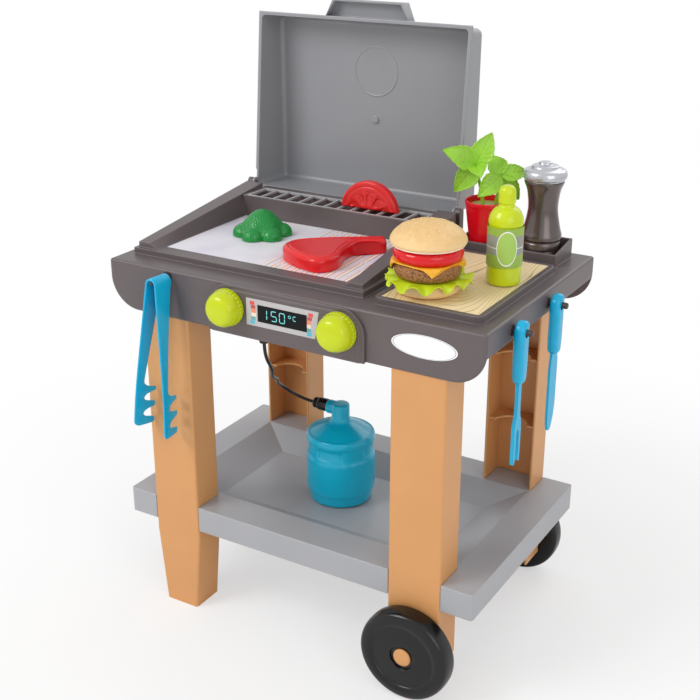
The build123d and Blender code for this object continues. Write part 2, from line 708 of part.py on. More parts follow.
def socket_lug():
    """Flat lug behind the front apron that carries the hose socket."""
    return block(
        SOCKET_OFFSET_X - SOCKET_LUG_WIDTH / 2,
        SOCKET_OFFSET_X + SOCKET_LUG_WIDTH / 2,
        FRONT + WALL / 2,
        FRONT + WALL + SOCKET_LUG_LENGTH,
        APRON_LOW,
        APRON_LOW + SOCKET_LUG_THICKNESS,
    )


def socket_hole():
    """The hole for the socket's neck."""
    y = FRONT + SOCKET_OFFSET_Y
    low = APRON_LOW - OVERRUN
    return rod((SOCKET_OFFSET_X, y, low), (SOCKET_OFFSET_X, y, low + APRON_HEIGHT / 2), SOCKET_RADIUS)


def hose_socket():
    """Gland with a flange above the lug and a mouth below it."""
    y = FRONT + SOCKET_OFFSET_Y
    top = APRON_LOW + SOCKET_LUG_THICKNESS
    mouth = HOSE_ROUTE[0][2]
    neck = rod((SOCKET_OFFSET_X, y, mouth), (SOCKET_OFFSET_X, y, top + SOCKET_FLANGE), SOCKET_RADIUS)
    flange = rod(
        (SOCKET_OFFSET_X, y, top), (SOCKET_OFFSET_X, y, top + SOCKET_FLANGE), SOCKET_RADIUS + SOCKET_FLANGE
    )
    return neck + flange


def peg(root, tip, radius, wall_side):
    """A round-ended peg from its root in the wall to its tip, with a flange on the wall."""
    along = (Vector(*tip) - Vector(*root)).normalized()
    bar = rod(root, tip, radius)
    bar = fillet(bar.edges().sort_by(Axis(root, (along.X, along.Y, along.Z)))[-1], radius * PEG_ROUND_SHARE)
    start = Vector(*wall_side)
    end = start + along * PEG_FLANGE
    return bar + rod((start.X, start.Y, start.Z), (end.X, end.Y, end.Z), PEG_FLANGE_RADIUS)


def utensil_pegs():
    """Three round-ended pegs: one in the front apron and two in the right skirt."""
    x, z = TONGS_PEG_X, TONGS_PEG_Z
    pegs = [peg((x, FRONT + WALL, z), (x, TONGS_Y - TONGS_WIDTH / 2, z), TONGS_PEG_RADIUS, (x, FRONT, z))]
    for offset in (FORK_PEG_FRONT, KNIFE_PEG_FRONT):
        y, z = FRONT + offset, SIDE_PEG_Z
        end = RIGHT + SIDE_PEG_LENGTH
        pegs.append(peg((RIGHT - WALL, y, z), (end, y, z), PEG_RADIUS, (RIGHT, y, z)))
    return Compound(children=[one.solid() for one in pegs])


def control_panel():
    """Fascia with round upper corners and a raised inner field."""
    low = PANEL_OFFSET - PANEL_WIDTH / 2
    high = PANEL_OFFSET + PANEL_WIDTH / 2
    top = WORKTOP_TOP - PANEL_TOP_GAP
    panel = block(low, high, PANEL_FACE, FRONT, APRON_LOW, top)
    panel = fillet(panel.edges().filter_by(Axis.Y).group_by(Axis.Z)[-1], PANEL_CORNER)
    field = block(
        low + PANEL_STEP_INSET,
        high - PANEL_STEP_INSET,
        STEP_FACE,
        PANEL_FACE,
        APRON_LOW,
        top - PANEL_STEP_INSET,
    )
    field = fillet(field.edges().filter_by(Axis.Y).group_by(Axis.Z)[-1], PANEL_CORNER - PANEL_STEP_INSET)
    panel += field
    for x in KNOB_PLACES:
        panel -= knob_bore(x, STEP_FACE - OVERRUN, FRONT + OVERRUN)
    return panel


def knob(x):
    """Ribbed skirt, domed front and a shaft whose barb snaps behind the apron."""
    back = STEP_FACE - SEAT_GAP
    tip = back - KNOB_LENGTH
    cap = standing_disc(KNOB_RADIUS, KNOB_LENGTH)
    cap = fillet(cap.edges().sort_by(Axis.Z)[-1], KNOB_ROUND)
    for place in PolarLocations(KNOB_RADIUS + KNOB_RIB_RADIUS / 2, KNOB_RIBS):
        cap -= place * Cylinder(
            KNOB_RIB_RADIUS, 2 * KNOB_SKIRT, align=(Align.CENTER, Align.CENTER, Align.CENTER)
        )
    cap -= Cylinder(
        KNOB_RADIUS - KNOB_RIB_RADIUS - WALL, KNOB_SKIRT, align=(Align.CENTER, Align.CENTER, Align.MIN)
    )
    cap = Plane(origin=(x, back, KNOB_Z), x_dir=(1, 0, 0), z_dir=(0, -1, 0)) * cap
    barb = FRONT + WALL + SEAT_GAP
    shaft = rod((x, (tip + back) / 2, KNOB_Z), (x, barb + KNOB_BARB_LENGTH, KNOB_Z), KNOB_SHAFT_RADIUS)
    shaft += rod((x, barb, KNOB_Z), (x, barb + KNOB_BARB_LENGTH, KNOB_Z), KNOB_SHAFT_RADIUS + KNOB_BARB)
    return cap + shaft


def front_plate(points, back, thickness):
    """A thin plate on the front, from (x, z) corners."""
    face = make_face(Polyline(*[(x, back, z) for x, z in points], close=True))
    return extrude(face, thickness, dir=(0, -1, 0))


def display_plate():
    """Pale plate between the knobs; both ends lean in towards the bottom."""
    half = PLATE_WIDTH / 2
    low, high = KNOB_Z - PLATE_HEIGHT / 2, KNOB_Z + PLATE_HEIGHT / 2
    points = [
        (PANEL_OFFSET - half, high),
        (PANEL_OFFSET + half, high),
        (PANEL_OFFSET + half - PLATE_SLANT, low),
        (PANEL_OFFSET - half, low),
    ]
    return front_plate(points, STEP_FACE, CARD)


def display_screen():
    """Dark window on the plate."""
    half = SCREEN_WIDTH / 2
    low, high = KNOB_Z - SCREEN_HEIGHT / 2, KNOB_Z + SCREEN_HEIGHT / 2
    points = [
        (PANEL_OFFSET - half, high),
        (PANEL_OFFSET + half, high),
        (PANEL_OFFSET + half, low),
        (PANEL_OFFSET - half, low),
    ]
    return front_plate(points, STEP_FACE - CARD, SCREEN_THICKNESS)


def front_badge():
    """Blank oval plate on the apron."""
    place = Plane(origin=(BADGE_X, FRONT, KNOB_Z), x_dir=(1, 0, 0), z_dir=(0, -1, 0))
    return place * extrude(Ellipse(BADGE_WIDTH / 2, BADGE_HEIGHT / 2), CARD)


def grill_print():
    """Printed card in front of the grate housing."""
    sheet = block(
        GRILL_X - PRINT_HALF + CARD_FIT,
        GRILL_X + PRINT_HALF - CARD_FIT,
        PRINT_FRONT + CARD_FIT,
        HOUSING_FRONT - CARD_FIT,
        PRINT_FLOOR,
        PRINT_TOP,
    )
    return sheet


def ember_print():
    """Printed card on the floor of the ember void."""
    return block(
        GRILL_X - FIELD_HALF + GRATE_END_INSET + GRATE_LEDGE + CARD_FIT,
        GRILL_X + FIELD_HALF - GRATE_END_INSET - GRATE_LEDGE - CARD_FIT,
        REBATE_FRONT + GRATE_LEDGE + CARD_FIT,
        REBATE_REAR - GRATE_LEDGE - CARD_FIT,
        EMBER_FLOOR,
        EMBER_FLOOR + CARD,
    )


def grill_grate():
    """Flat grate: two rails and evenly spaced bars."""
    left, right = GRILL_X - GRATE_HALF, GRILL_X + GRATE_HALF
    front, rear = REBATE_FRONT + SEAT_GAP, REBATE_REAR - SEAT_GAP
    rails = block(left, right, front, front + GRATE_RAIL_WIDTH, GRATE_LOW, HOUSING_TOP)
    rails += block(left, right, rear - GRATE_RAIL_WIDTH, rear, GRATE_LOW, HOUSING_TOP)
    pitch = (right - left - GRATE_BAR_WIDTH) / (GRATE_BARS - 1)
    for index in range(GRATE_BARS):
        x = left + index * pitch
        rails += block(x, x + GRATE_BAR_WIDTH, front, rear, GRATE_LOW, HOUSING_TOP)
    return rails


def lid_outline(half, back, reach, height_back, height_reach):
    """Four corners of the lid across its hinge side and its free side, from the hinge axis."""
    return [
        (-half, back, height_back),
        (half, back, height_back),
        (half, -reach, height_reach),
        (-half, -reach, height_reach),
    ]


def lid_wedge(inset, rim, corner):
    """The lid's wedge drawn in by inset: its crown is higher at the hinge than at the free side."""
    crown_back = LID_RIM_OFFSET + LID_DEPTH_HINGE - inset
    crown_front = LID_RIM_OFFSET + LID_DEPTH_FREE - inset
    draft_back = LID_DRAFT_SHARE * LID_DEPTH_HINGE
    draft_front = LID_DRAFT_SHARE * LID_DEPTH_FREE
    crown = [
        (-LID_HALF + inset + draft_back, LID_BACK - inset - draft_back, crown_back),
        (LID_HALF - inset - draft_back, LID_BACK - inset - draft_back, crown_back),
        (LID_HALF - inset - draft_front, -LID_REACH + inset + draft_front, crown_front),
        (-LID_HALF + inset + draft_front, -LID_REACH + inset + draft_front, crown_front),
    ]
    base = lid_outline(LID_HALF - inset, LID_BACK - inset, LID_REACH - inset, rim, rim)
    wedge = lofted(base, crown)
    edges = [edge for edge in wedge.edges() if edge.center().Z > rim + corner / 2]
    return fillet(edges, corner)


def lid_crown_plane(reach):
    """Plane on the inner side of the crown at a distance from the hinge axis, facing the inside."""
    run = LID_REACH + LID_BACK
    slope = (LID_DEPTH_HINGE - LID_DEPTH_FREE) / run
    height = LID_RIM_OFFSET + LID_DEPTH_HINGE - WALL - slope * (reach + LID_BACK)
    return Plane(origin=(0, -reach, height), x_dir=(1, 0, 0), z_dir=(0, slope, -1))


def lid_closed():
    """The lid in its closed pose, with the hinge axis as X axis and its rim level."""
    rim = LID_RIM_OFFSET
    shell = lid_wedge(0, rim, LID_CORNER)
    lip_half = LID_HALF + LID_LIP
    shell += block(-lip_half, lip_half, -LID_REACH - LID_LIP, -LID_LIP_START, rim, rim + LID_LIP_HEIGHT)
    shell += lid_handle()
    shell -= lid_wedge(WALL, rim - OVERRUN, LID_CORNER - WALL)
    shell -= lid_handle_pocket()
    for side in (-1, 1):
        outer, inner = side * LID_HALF, side * (LID_HALF - WALL)
        low, high = min(outer, inner), max(outer, inner)
        ear = rod((low, 0, 0), (high, 0, 0), LID_EAR_RADIUS)
        ear += block(low, high, -LID_EAR_RADIUS, LID_EAR_RADIUS, 0, rim + LID_LIP_HEIGHT)
        shell += ear - rod((low - OVERRUN, 0, 0), (high + OVERRUN, 0, 0), STUD_RADIUS + RUNNING_FIT)
    ring = standing_disc(LID_RING_RADIUS, LID_RING_HEIGHT + WALL / 2)
    ring -= Cylinder(LID_RING_RADIUS - LID_RING_WIDTH, LID_RING_HEIGHT + WALL + OVERRUN)
    nub = standing_disc(LID_NUB_RADIUS, LID_RIM_OFFSET / 2 + WALL / 2)
    for shape, reach in ((ring, LID_RING_REACH), (nub, LID_NUB_REACH)):
        place = lid_crown_plane(reach)
        shell += place.offset(-WALL / 2) * shape
    return shell


def handle_corners(width, y, low, high):
    """Four corners of a section of the handle across its reach."""
    half = width / 2
    return [
        (HANDLE_OFFSET - half, y, low),
        (HANDLE_OFFSET + half, y, low),
        (HANDLE_OFFSET + half, y, high),
        (HANDLE_OFFSET - half, y, high),
    ]


def lid_handle():
    """Solid block of the handle on the free side."""
    rim = LID_RIM_OFFSET
    start, end = -LID_REACH + LID_CORNER / 2, -LID_REACH - HANDLE_REACH
    return lofted(
        handle_corners(HANDLE_BASE_WIDTH, start, rim, rim + HANDLE_DEPTH),
        handle_corners(HANDLE_TOP_WIDTH, end, rim, rim + HANDLE_DEPTH),
    )


def lid_handle_pocket():
    """The hollow of the handle, open towards the rim side."""
    rim = LID_RIM_OFFSET
    start, end = -LID_REACH - LID_LIP, -LID_REACH - HANDLE_REACH + WALL
    return lofted(
        handle_corners(HANDLE_BASE_WIDTH - 2 * WALL, start, rim - OVERRUN, rim + HANDLE_DEPTH - WALL),
        handle_corners(HANDLE_TOP_WIDTH - 2 * WALL, end, rim - OVERRUN, rim + HANDLE_DEPTH - WALL),
    )


def lid():
    """The lid standing open, leaning to the rear."""
    return Pos(GRILL_X, HINGE_Y, HINGE_Z) * Rot(-90 - LID_LEAN, 0, 0) * lid_closed()


def leg_rib(z):
    """Level rib between the flanges of the front right leg, scalloped at its free edge."""
    rib = block(
        LEG_INNER + WALL / 2,
        LEG_OUTER - WALL / 2,
        -LEG_FACE + WALL / 2,
        -LEG_BACK - LEG_RIB_SETBACK,
        z - WALL,
        z,
    )
    scallop = rod(
        (LEG_X, -LEG_BACK, z - WALL - OVERRUN), (LEG_X, -LEG_BACK, z + OVERRUN), LEG_RIB_SCALLOP
    )
    return rib - scallop


def leg_prism(inset, taper, low, high, front, rear):
    """Upright bar as wide as a leg less its inset, whose sides draw in by taper towards the foot."""
    left, right = LEG_INNER + inset, LEG_OUTER - inset
    corners = [(left, high), (right, high), (right - taper, low), (left + taper, low)]
    if taper:
        corners[2:2] = [(right, LEG_TAPER_HEIGHT)]
        corners.append((left, LEG_TAPER_HEIGHT))
    face = make_face(Polyline(*[(x, front, z) for x, z in corners], close=True))
    return extrude(face, rear - front, dir=(0, 1, 0))


def leg_channel(low, taper):
    """Front right leg: a channel open to the rear, its web on the front apron's inner face."""
    outer = leg_prism(0, taper, low, LEG_TOP, -LEG_FACE, -LEG_BACK)
    front_edges = [
        edge
        for edge in outer.edges()
        if edge.center().Y < -LEG_FACE + LEG_CORNER and edge.bounding_box().size.Z > LEG_CORNER
    ]
    channel = fillet(front_edges, LEG_CORNER)
    floor = low + WALL if taper else low - OVERRUN
    channel -= leg_prism(WALL, taper, floor, LEG_TOP + OVERRUN, -LEG_FACE + WALL, -LEG_BACK + OVERRUN)
    z = SHELF_RIM_UNDERSIDE
    while z < APRON_LOW:
        channel += leg_rib(z)
        z += LEG_RIB_GAP
    return channel


def wheel_leg():
    """Front right leg with the boss that holds the wheel's pin."""
    channel = leg_channel(WHEEL_LEG_LIFT, 0)
    boss_end = -LEG_FACE + PIN_DEPTH
    boss_start = (LEG_X, -LEG_FACE + WALL / 2, WHEEL_RADIUS)
    channel += rod(boss_start, (LEG_X, boss_end, WHEEL_RADIUS), PIN_RADIUS + PIN_BOSS_WALL)
    return channel - rod(
        (LEG_X, -LEG_FACE - OVERRUN, WHEEL_RADIUS), (LEG_X, boss_end + OVERRUN, WHEEL_RADIUS), PIN_RADIUS
    )


def shelf():
    """Tray with a flat rim, sloping sides and a sunken floor, notched round the legs."""
    tray = block(-SHELF_HALF_X, SHELF_HALF_X, -SHELF_HALF_Y, SHELF_HALF_Y, SHELF_TOP - SHELF_SKIRT, SHELF_TOP)
    tray = fillet(tray.edges().filter_by(Axis.Z), WORKTOP_EDGE)
    half_x, half_y = SHELF_HALF_X - SHELF_SIDE_RIM, SHELF_HALF_Y - SHELF_FRONT_RIM

    def level(x, y, z):
        return [(-x, -y, z), (x, -y, z), (x, y, z), (-x, y, z)]

    floor = level(half_x - SHELF_SLOPE_X, half_y - SHELF_SLOPE_Y, SHELF_FLOOR)
    basin = lofted(level(half_x, half_y, SHELF_TOP), floor)
    underside = block(
        -SHELF_HALF_X + WALL,
        SHELF_HALF_X - WALL,
        -SHELF_HALF_Y + WALL,
        SHELF_HALF_Y - WALL,
        SHELF_TOP - SHELF_SKIRT - OVERRUN,
        SHELF_RIM_UNDERSIDE,
    )
    tray -= underside - Pos(0, 0, -WALL) * basin
    tray -= basin
    for side in (-1, 1):
        for end in (-1, 1):
            tray -= leg_slot(side, end)
    return tray


def leg_slot(side, end):
    """The cut that one leg's web and flanges pass through."""
    inner, outer = LEG_INNER - SEAT_GAP, LEG_OUTER + SEAT_GAP
    low, high = SHELF_TOP - SHELF_SKIRT - OVERRUN, SHELF_TOP + OVERRUN
    web = block(inner, outer, SHELF_HALF_Y - WALL, SHELF_HALF_Y + OVERRUN, low, high)
    near = block(inner, LEG_INNER + WALL + SEAT_GAP, LEG_BACK - SEAT_GAP, SHELF_HALF_Y, low, high)
    far = block(LEG_OUTER - WALL - SEAT_GAP, outer, LEG_BACK - SEAT_GAP, SHELF_HALF_Y, low, high)
    slot = web + near + far
    if side < 0:
        slot = mirror(slot, about=Plane.YZ)
    if end < 0:
        slot = mirror(slot, about=Plane.XZ)
    return slot


def wheel():
    """Front wheel: rounded tread, sunken disc and a hub recess round the pin's head."""
    tyre = standing_disc(WHEEL_RADIUS, WHEEL_THICKNESS)
    tyre = fillet(tyre.edges().sort_by(Axis.Z)[-1], WHEEL_RIM_ROUND)
    tyre = fillet(tyre.edges().sort_by(Axis.Z)[0], WHEEL_RIM_ROUND / 2)
    top = WHEEL_THICKNESS
    disc = standing_disc(WHEEL_DISC_RADIUS, WHEEL_DISC_RECESS + OVERRUN)
    tyre -= Pos(0, 0, top - WHEEL_DISC_RECESS) * disc
    crown = Cone(
        WHEEL_DISC_RADIUS - WHEEL_DISC_RECESS,
        WHEEL_HUB_RADIUS + WHEEL_DISC_RECESS,
        WHEEL_DISC_RECESS,
        align=(Align.CENTER, Align.CENTER, Align.MIN),
    )
    tyre += Pos(0, 0, top - WHEEL_DISC_RECESS) * crown
    hub = standing_disc(WHEEL_HUB_RADIUS, WHEEL_HUB_RECESS + OVERRUN)
    tyre -= Pos(0, 0, top - WHEEL_HUB_RECESS) * hub
    tyre -= Pos(0, 0, top / 2) * Cylinder(PIN_RADIUS + RUNNING_FIT, WHEEL_THICKNESS + OVERRUN)
    return Plane(origin=(LEG_X, -WHEEL_INNER, WHEEL_RADIUS), x_dir=(1, 0, 0), z_dir=(0, -1, 0)) * tyre


def wheel_pin():
    """Front wheel's pin, its domed head in the hub recess."""
    head_base = -WHEEL_OUTER + WHEEL_HUB_RECESS - SEAT_GAP
    stem = rod((LEG_X, -LEG_FACE + PIN_DEPTH, WHEEL_RADIUS), (LEG_X, head_base, WHEEL_RADIUS), PIN_RADIUS)
    head = rod((LEG_X, head_base, WHEEL_RADIUS), (LEG_X, head_base - PIN_HEAD, WHEEL_RADIUS), PIN_HEAD_RADIUS)
    head = fillet(head.edges().sort_by(Axis.Y)[0], PIN_HEAD * PIN_ROUND_SHARE)
    return stem + head


def gas_bottle():
    """Hollow gas bottle with two grooves round its belly and an open neck."""
    body = turned(GAS_BOTTLE_SHARES, BOTTLE_RADIUS, BOTTLE_HEIGHT)
    body -= turned(GAS_CAVITY_SHARES, BOTTLE_RADIUS, BOTTLE_HEIGHT)
    body -= rod((0, 0, BOTTLE_HEIGHT - VALVE_PLUG_DEPTH), (0, 0, BOTTLE_HEIGHT + OVERRUN), VALVE_PLUG_RADIUS)
    return Pos(BOTTLE_OFFSET_X, BOTTLE_OFFSET_Y, SHELF_FLOOR + SEAT_GAP) * body


def gas_valve():
    """Valve with a plug in the bottle's neck and an arm towards the hose."""
    x, y = BOTTLE_OFFSET_X, BOTTLE_OFFSET_Y
    body = rod((x, y, BOTTLE_TOP), (x, y, BOTTLE_TOP + VALVE_HEIGHT), VALVE_RADIUS)
    body = fillet(body.edges().sort_by(Axis.Z)[-1], VALVE_RADIUS / 2)
    body += rod((x, y, BOTTLE_TOP - VALVE_PLUG_DEPTH), (x, y, BOTTLE_TOP + WALL), VALVE_PLUG_RADIUS)
    return body + rod((x, y, VALVE_ARM_Z), (x - VALVE_ARM_REACH, y, VALVE_ARM_Z), VALVE_ARM_RADIUS)


def hose_connector():
    """Stepped plug between the hose and the valve's arm."""
    x, y = BOTTLE_OFFSET_X - VALVE_ARM_REACH, BOTTLE_OFFSET_Y
    body = rod((x, y, VALVE_ARM_Z), (x - CONNECTOR_LENGTH, y, VALVE_ARM_Z), HOSE_DIAMETER / 2 + SLEEVE_WALL)
    return body + rod((x, y, VALVE_ARM_Z), (x - CONNECTOR_LENGTH / 2, y, VALVE_ARM_Z), CONNECTOR_RADIUS)


def hose_radii(points):
    """The bend radius at each inner point of the hose's route."""
    radii = []
    for before, here, after in zip(points, points[1:], points[2:]):
        run_in = Vector(*here) - Vector(*before)
        run_out = Vector(*after) - Vector(*here)
        turn = radians(run_in.get_angle(run_out))
        radii.append(HOSE_BEND_SHARE * min(run_in.length, run_out.length) / tan(turn / 2))
    return radii


def hose():
    """The hose from the socket to the connector."""
    radii = hose_radii(HOSE_ROUTE)
    path = FilletPolyline(*HOSE_ROUTE, radius=radii)
    start = Plane(origin=path @ 0, z_dir=path % 0)
    tube = sweep(start * Circle(HOSE_DIAMETER / 2), path=path)
    print("hose length", path.length, "radii", [round(radius, 1) for radius in radii])
    print("hose volume", tube.volume, "section by length", pi * (HOSE_DIAMETER / 2) ** 2 * path.length)
    return tube


def tongs_place(side, piece):
    """Hangs a piece of the right arm on the peg, slanting; the left arm is its mirror image."""
    if side < 0:
        piece = mirror(piece, about=Plane.YZ)
    return Pos(TONGS_PEG_X, TONGS_Y, TONGS_Z) * Rot(0, 0, -TONGS_TURN) * Rot(0, TONGS_SWING, 0) * piece


def tongs_fold(side):
    """One arm's half of the fold that springs the tongs open."""
    outer = TONGS_FOLD_RADIUS + TONGS_THICKNESS
    half = TONGS_WIDTH / 2
    ring = Cylinder(outer, TONGS_WIDTH) - Cylinder(TONGS_FOLD_RADIUS, TONGS_WIDTH)
    quarter = block(0, 2 * outer, -half, half, 0, 2 * outer)
    fold = (Rot(90, 0, 0) * ring) & quarter & (Rot(0, -TONGS_SPLAY, 0) * quarter)
    return tongs_place(side, fold)


def tongs_arm(side):
    """One arm below the fold: a plate that twists inwards and claws towards the rear."""
    return tongs_place(side, Rot(0, -TONGS_SPLAY, 0) * (arm_plate() + arm_claws()))


def arm_twist():
    """Turns the lower end of an arm about its front edge, so that the claws face each other."""
    middle = TONGS_FOLD_RADIUS + TONGS_THICKNESS / 2
    return Pos(middle, -TONGS_WIDTH / 2, 0) * Rot(0, 0, TONGS_TWIST)


def arm_plate():
    """The upper part of an arm, narrowing and twisting from the fold down to the neck."""
    outer = TONGS_FOLD_RADIUS + TONGS_THICKNESS
    half = TONGS_WIDTH / 2
    flat = TONGS_THICKNESS / 2
    neck_z = -TONGS_LENGTH + TONGS_NECK_END
    neck = [(-flat, 0), (flat, 0), (flat, TONGS_NECK_WIDTH), (-flat, TONGS_NECK_WIDTH)]
    lower = [(arm_twist() * Pos(x, y, neck_z)).position for x, y in neck]
    upper = [(TONGS_FOLD_RADIUS, -half, 0), (outer, -half, 0), (outer, half, 0), (TONGS_FOLD_RADIUS, half, 0)]
    return lofted(lower, upper)


def arm_claws():
    """The lower part of an arm: a straight strip with claws on its rear edge."""
    flat = TONGS_THICKNESS / 2
    low = -TONGS_LENGTH
    strip = block(-flat, flat, 0, TONGS_NECK_WIDTH, low, low + TONGS_NECK_END)
    for index in range(TONGS_CLAWS):
        foot = low + index * TONGS_CLAW_PITCH
        claw = [
            (-flat, TONGS_NECK_WIDTH - WALL, foot),
            (-flat, TONGS_CLAW_REACH, foot + (TONGS_CLAW_ROOT - TONGS_CLAW_TIP) / 2),
            (-flat, TONGS_CLAW_REACH, foot + (TONGS_CLAW_ROOT + TONGS_CLAW_TIP) / 2),
            (-flat, TONGS_NECK_WIDTH - WALL, foot + TONGS_CLAW_ROOT),
        ]
        strip += extrude(make_face(Polyline(*claw, close=True)), TONGS_THICKNESS, dir=(1, 0, 0))
    return arm_twist() * strip


def utensil_handle(y):
    """Handle that hangs on a side peg, with its top cut slanting."""
    inner = RIGHT + PEG_FLANGE + UTENSIL_SIDE_GAP
    hole_z = SIDE_PEG_Z - SEAT_GAP
    top = hole_z + UTENSIL_HOLE_DROP
    half = UTENSIL_HANDLE_WIDTH / 2
    low = top - UTENSIL_HANDLE_LENGTH
    outline = [
        (inner, y - half, low),
        (inner, y + half, low),
        (inner, y + half, top),
        (inner, y - half, top - UTENSIL_SLANT),
    ]
    handle = extrude(make_face(Polyline(*outline, close=True)), UTENSIL_HANDLE_THICKNESS, dir=(1, 0, 0))
    handle = fillet(handle.edges().filter_by(Axis.X), UTENSIL_ROUND)
    outer = inner + UTENSIL_HANDLE_THICKNESS + OVERRUN
    hole = rod((inner - OVERRUN, y, hole_z), (outer, y, hole_z), PEG_RADIUS + 2 * SEAT_GAP)
    return handle - hole


def fork():
    """Fork with two tines."""
    y = FRONT + FORK_PEG_FRONT
    middle = RIGHT + PEG_FLANGE + UTENSIL_SIDE_GAP + UTENSIL_HANDLE_THICKNESS / 2
    low = middle - FORK_SHAFT_THICKNESS / 2
    high = middle + FORK_SHAFT_THICKNESS / 2
    top = SIDE_PEG_Z - SEAT_GAP + UTENSIL_HOLE_DROP
    handle_low = top - UTENSIL_HANDLE_LENGTH
    tip = top - UTENSIL_LENGTH
    shaft_half, head_half = FORK_SHAFT_WIDTH / 2, FORK_HEAD_WIDTH / 2
    shaft = block(low, high, y - shaft_half, y + shaft_half, tip + FORK_TINE_LENGTH, handle_low + WALL)
    head = block(low, high, y - head_half, y + head_half, tip, tip + FORK_HEAD_LENGTH)
    head = fillet(head.edges().filter_by(Axis.X), UTENSIL_ROUND)
    gap = FORK_TINE_GAP / 2
    head -= block(low - OVERRUN, high + OVERRUN, y - gap, y + gap, tip - OVERRUN, tip + FORK_TINE_LENGTH)
    return utensil_handle(y) + shaft + head


def knife():
    """Knife with a broad blade and a slanting tip."""
    y = FRONT + KNIFE_PEG_FRONT
    middle = RIGHT + PEG_FLANGE + UTENSIL_SIDE_GAP + UTENSIL_HANDLE_THICKNESS / 2
    low = middle - KNIFE_BLADE_THICKNESS / 2
    top = SIDE_PEG_Z - SEAT_GAP + UTENSIL_HOLE_DROP
    handle_low = top - UTENSIL_HANDLE_LENGTH
    tip = top - UTENSIL_LENGTH
    half = KNIFE_BLADE_WIDTH / 2
    outline = [
        (low, y - half, handle_low + WALL),
        (low, y + half, handle_low + WALL),
        (low, y + half, tip + KNIFE_TIP_SLANT),
        (low, y - half + UTENSIL_ROUND, tip),
        (low, y - half, tip + UTENSIL_ROUND),
    ]
    blade = extrude(make_face(Polyline(*outline, close=True)), KNIFE_BLADE_THICKNESS, dir=(1, 0, 0))
    return utensil_handle(y) + blade


def sauce_place():
    """Foot of the sauce bottle on the cutting board."""
    y = BOARD_FRONT + BURGER_FRONT_INSET + SAUCE_BURGER_GAP
    return Pos(BOARD_RIGHT - SAUCE_RIGHT_INSET, y, BOARD_CARD_TOP + SEAT_GAP)


def sauce_bottle():
    """Hollow bottle, open below."""
    body = turned(SAUCE_SHARES, SAUCE_RADIUS, SAUCE_HEIGHT)
    body -= turned(SAUCE_CAVITY_SHARES, SAUCE_RADIUS, SAUCE_HEIGHT)
    return sauce_place() * body


def sauce_label():
    """Label wrapped round the bottle, just clear of it."""
    height = LABEL_HIGH - LABEL_LOW
    sleeve = standing_disc(SAUCE_RADIUS + RUNNING_FIT + CARD, height)
    sleeve -= standing_disc(SAUCE_RADIUS + RUNNING_FIT, height)
    return sauce_place() * Pos(0, 0, LABEL_LOW) * sleeve


def mill_place():
    """Foot of the pepper mill in the spice bin."""
    return Pos(BIN_RIGHT - MILL_RIGHT_INSET, BIN_Y, BIN_FLOOR + SEAT_GAP)


def pepper_mill_body():
    """Waisted body with a bore for the cap's spigot."""
    body = turned(MILL_BODY_SHARES, MILL_RADIUS, MILL_BODY_HEIGHT)
    bore = MILL_SPIGOT_RADIUS + RUNNING_FIT
    bore_low = MILL_BODY_HEIGHT - MILL_SPIGOT_DEPTH - SEAT_GAP
    body -= rod((0, 0, bore_low), (0, 0, MILL_BODY_HEIGHT + OVERRUN), bore)
    return mill_place() * body


def pepper_mill_cap():
    """Turning cap with a button on top and a spigot below."""
    cap = turned(MILL_CAP_SHARES, MILL_RADIUS, MILL_CAP_HEIGHT)
    cap += rod((0, 0, -MILL_SPIGOT_DEPTH), (0, 0, WALL), MILL_SPIGOT_RADIUS)
    return mill_place() * Pos(0, 0, MILL_BODY_HEIGHT + SEAT_GAP) * cap


def pot_place():
    """Foot of the pot in the spice bin."""
    return Pos(BIN_LEFT + POT_LEFT_INSET, BIN_Y, BIN_FLOOR + SEAT_GAP)


def plant_pot():
    """Tapered pot with a collar at its rim."""
    cup = Cone(POT_BASE_RADIUS, POT_RADIUS, POT_HEIGHT, align=(Align.CENTER, Align.CENTER, Align.MIN))
    collar = standing_disc(POT_RADIUS, POT_RIM_HEIGHT)
    cup += Pos(0, 0, POT_HEIGHT - POT_RIM_HEIGHT) * collar
    inside = Cone(
        POT_BASE_RADIUS - POT_WALL,
        POT_RADIUS - POT_WALL - POT_WALL / 2,
        POT_HEIGHT,
        align=(Align.CENTER, Align.CENTER, Align.MIN),
    )
    cup -= Pos(0, 0, POT_WALL) * inside
    cup -= rod((0, 0, soil_low()), (0, 0, POT_HEIGHT + OVERRUN), POT_RADIUS - POT_WALL)
    return pot_place() * cup


def soil_low():
    """Height of the soil disc's underside in the pot."""
    return POT_HEIGHT - SOIL_DEPTH - SOIL_THICKNESS


def stem(foot_shares, heart_shares):
    """A round stem from a socket in the soil up to the heart of its rosette."""
    foot = Vector(*[share * BASIL_HEIGHT for share in foot_shares])
    heart = Vector(*[share * BASIL_HEIGHT for share in heart_shares])
    start = foot - (heart - foot).normalized() * STEM_SOCKET
    return rod((start.X, start.Y, start.Z), (heart.X, heart.Y, heart.Z), STEM_RADIUS)


def plant_soil():
    """Disc of soil that rests on the pot's inner step, with a socket for each stem."""
    disc = rod((0, 0, -SOIL_THICKNESS), (0, 0, 0), POT_RADIUS - POT_WALL - RUNNING_FIT)
    disc -= stem(BASIL_LARGE_FOOT_SHARES, BASIL_LARGE_HEART_SHARES)
    disc -= stem(BASIL_SMALL_FOOT_SHARES, BASIL_SMALL_HEART_SHARES)
    return pot_place() * Pos(0, 0, soil_low() + SOIL_THICKNESS) * disc


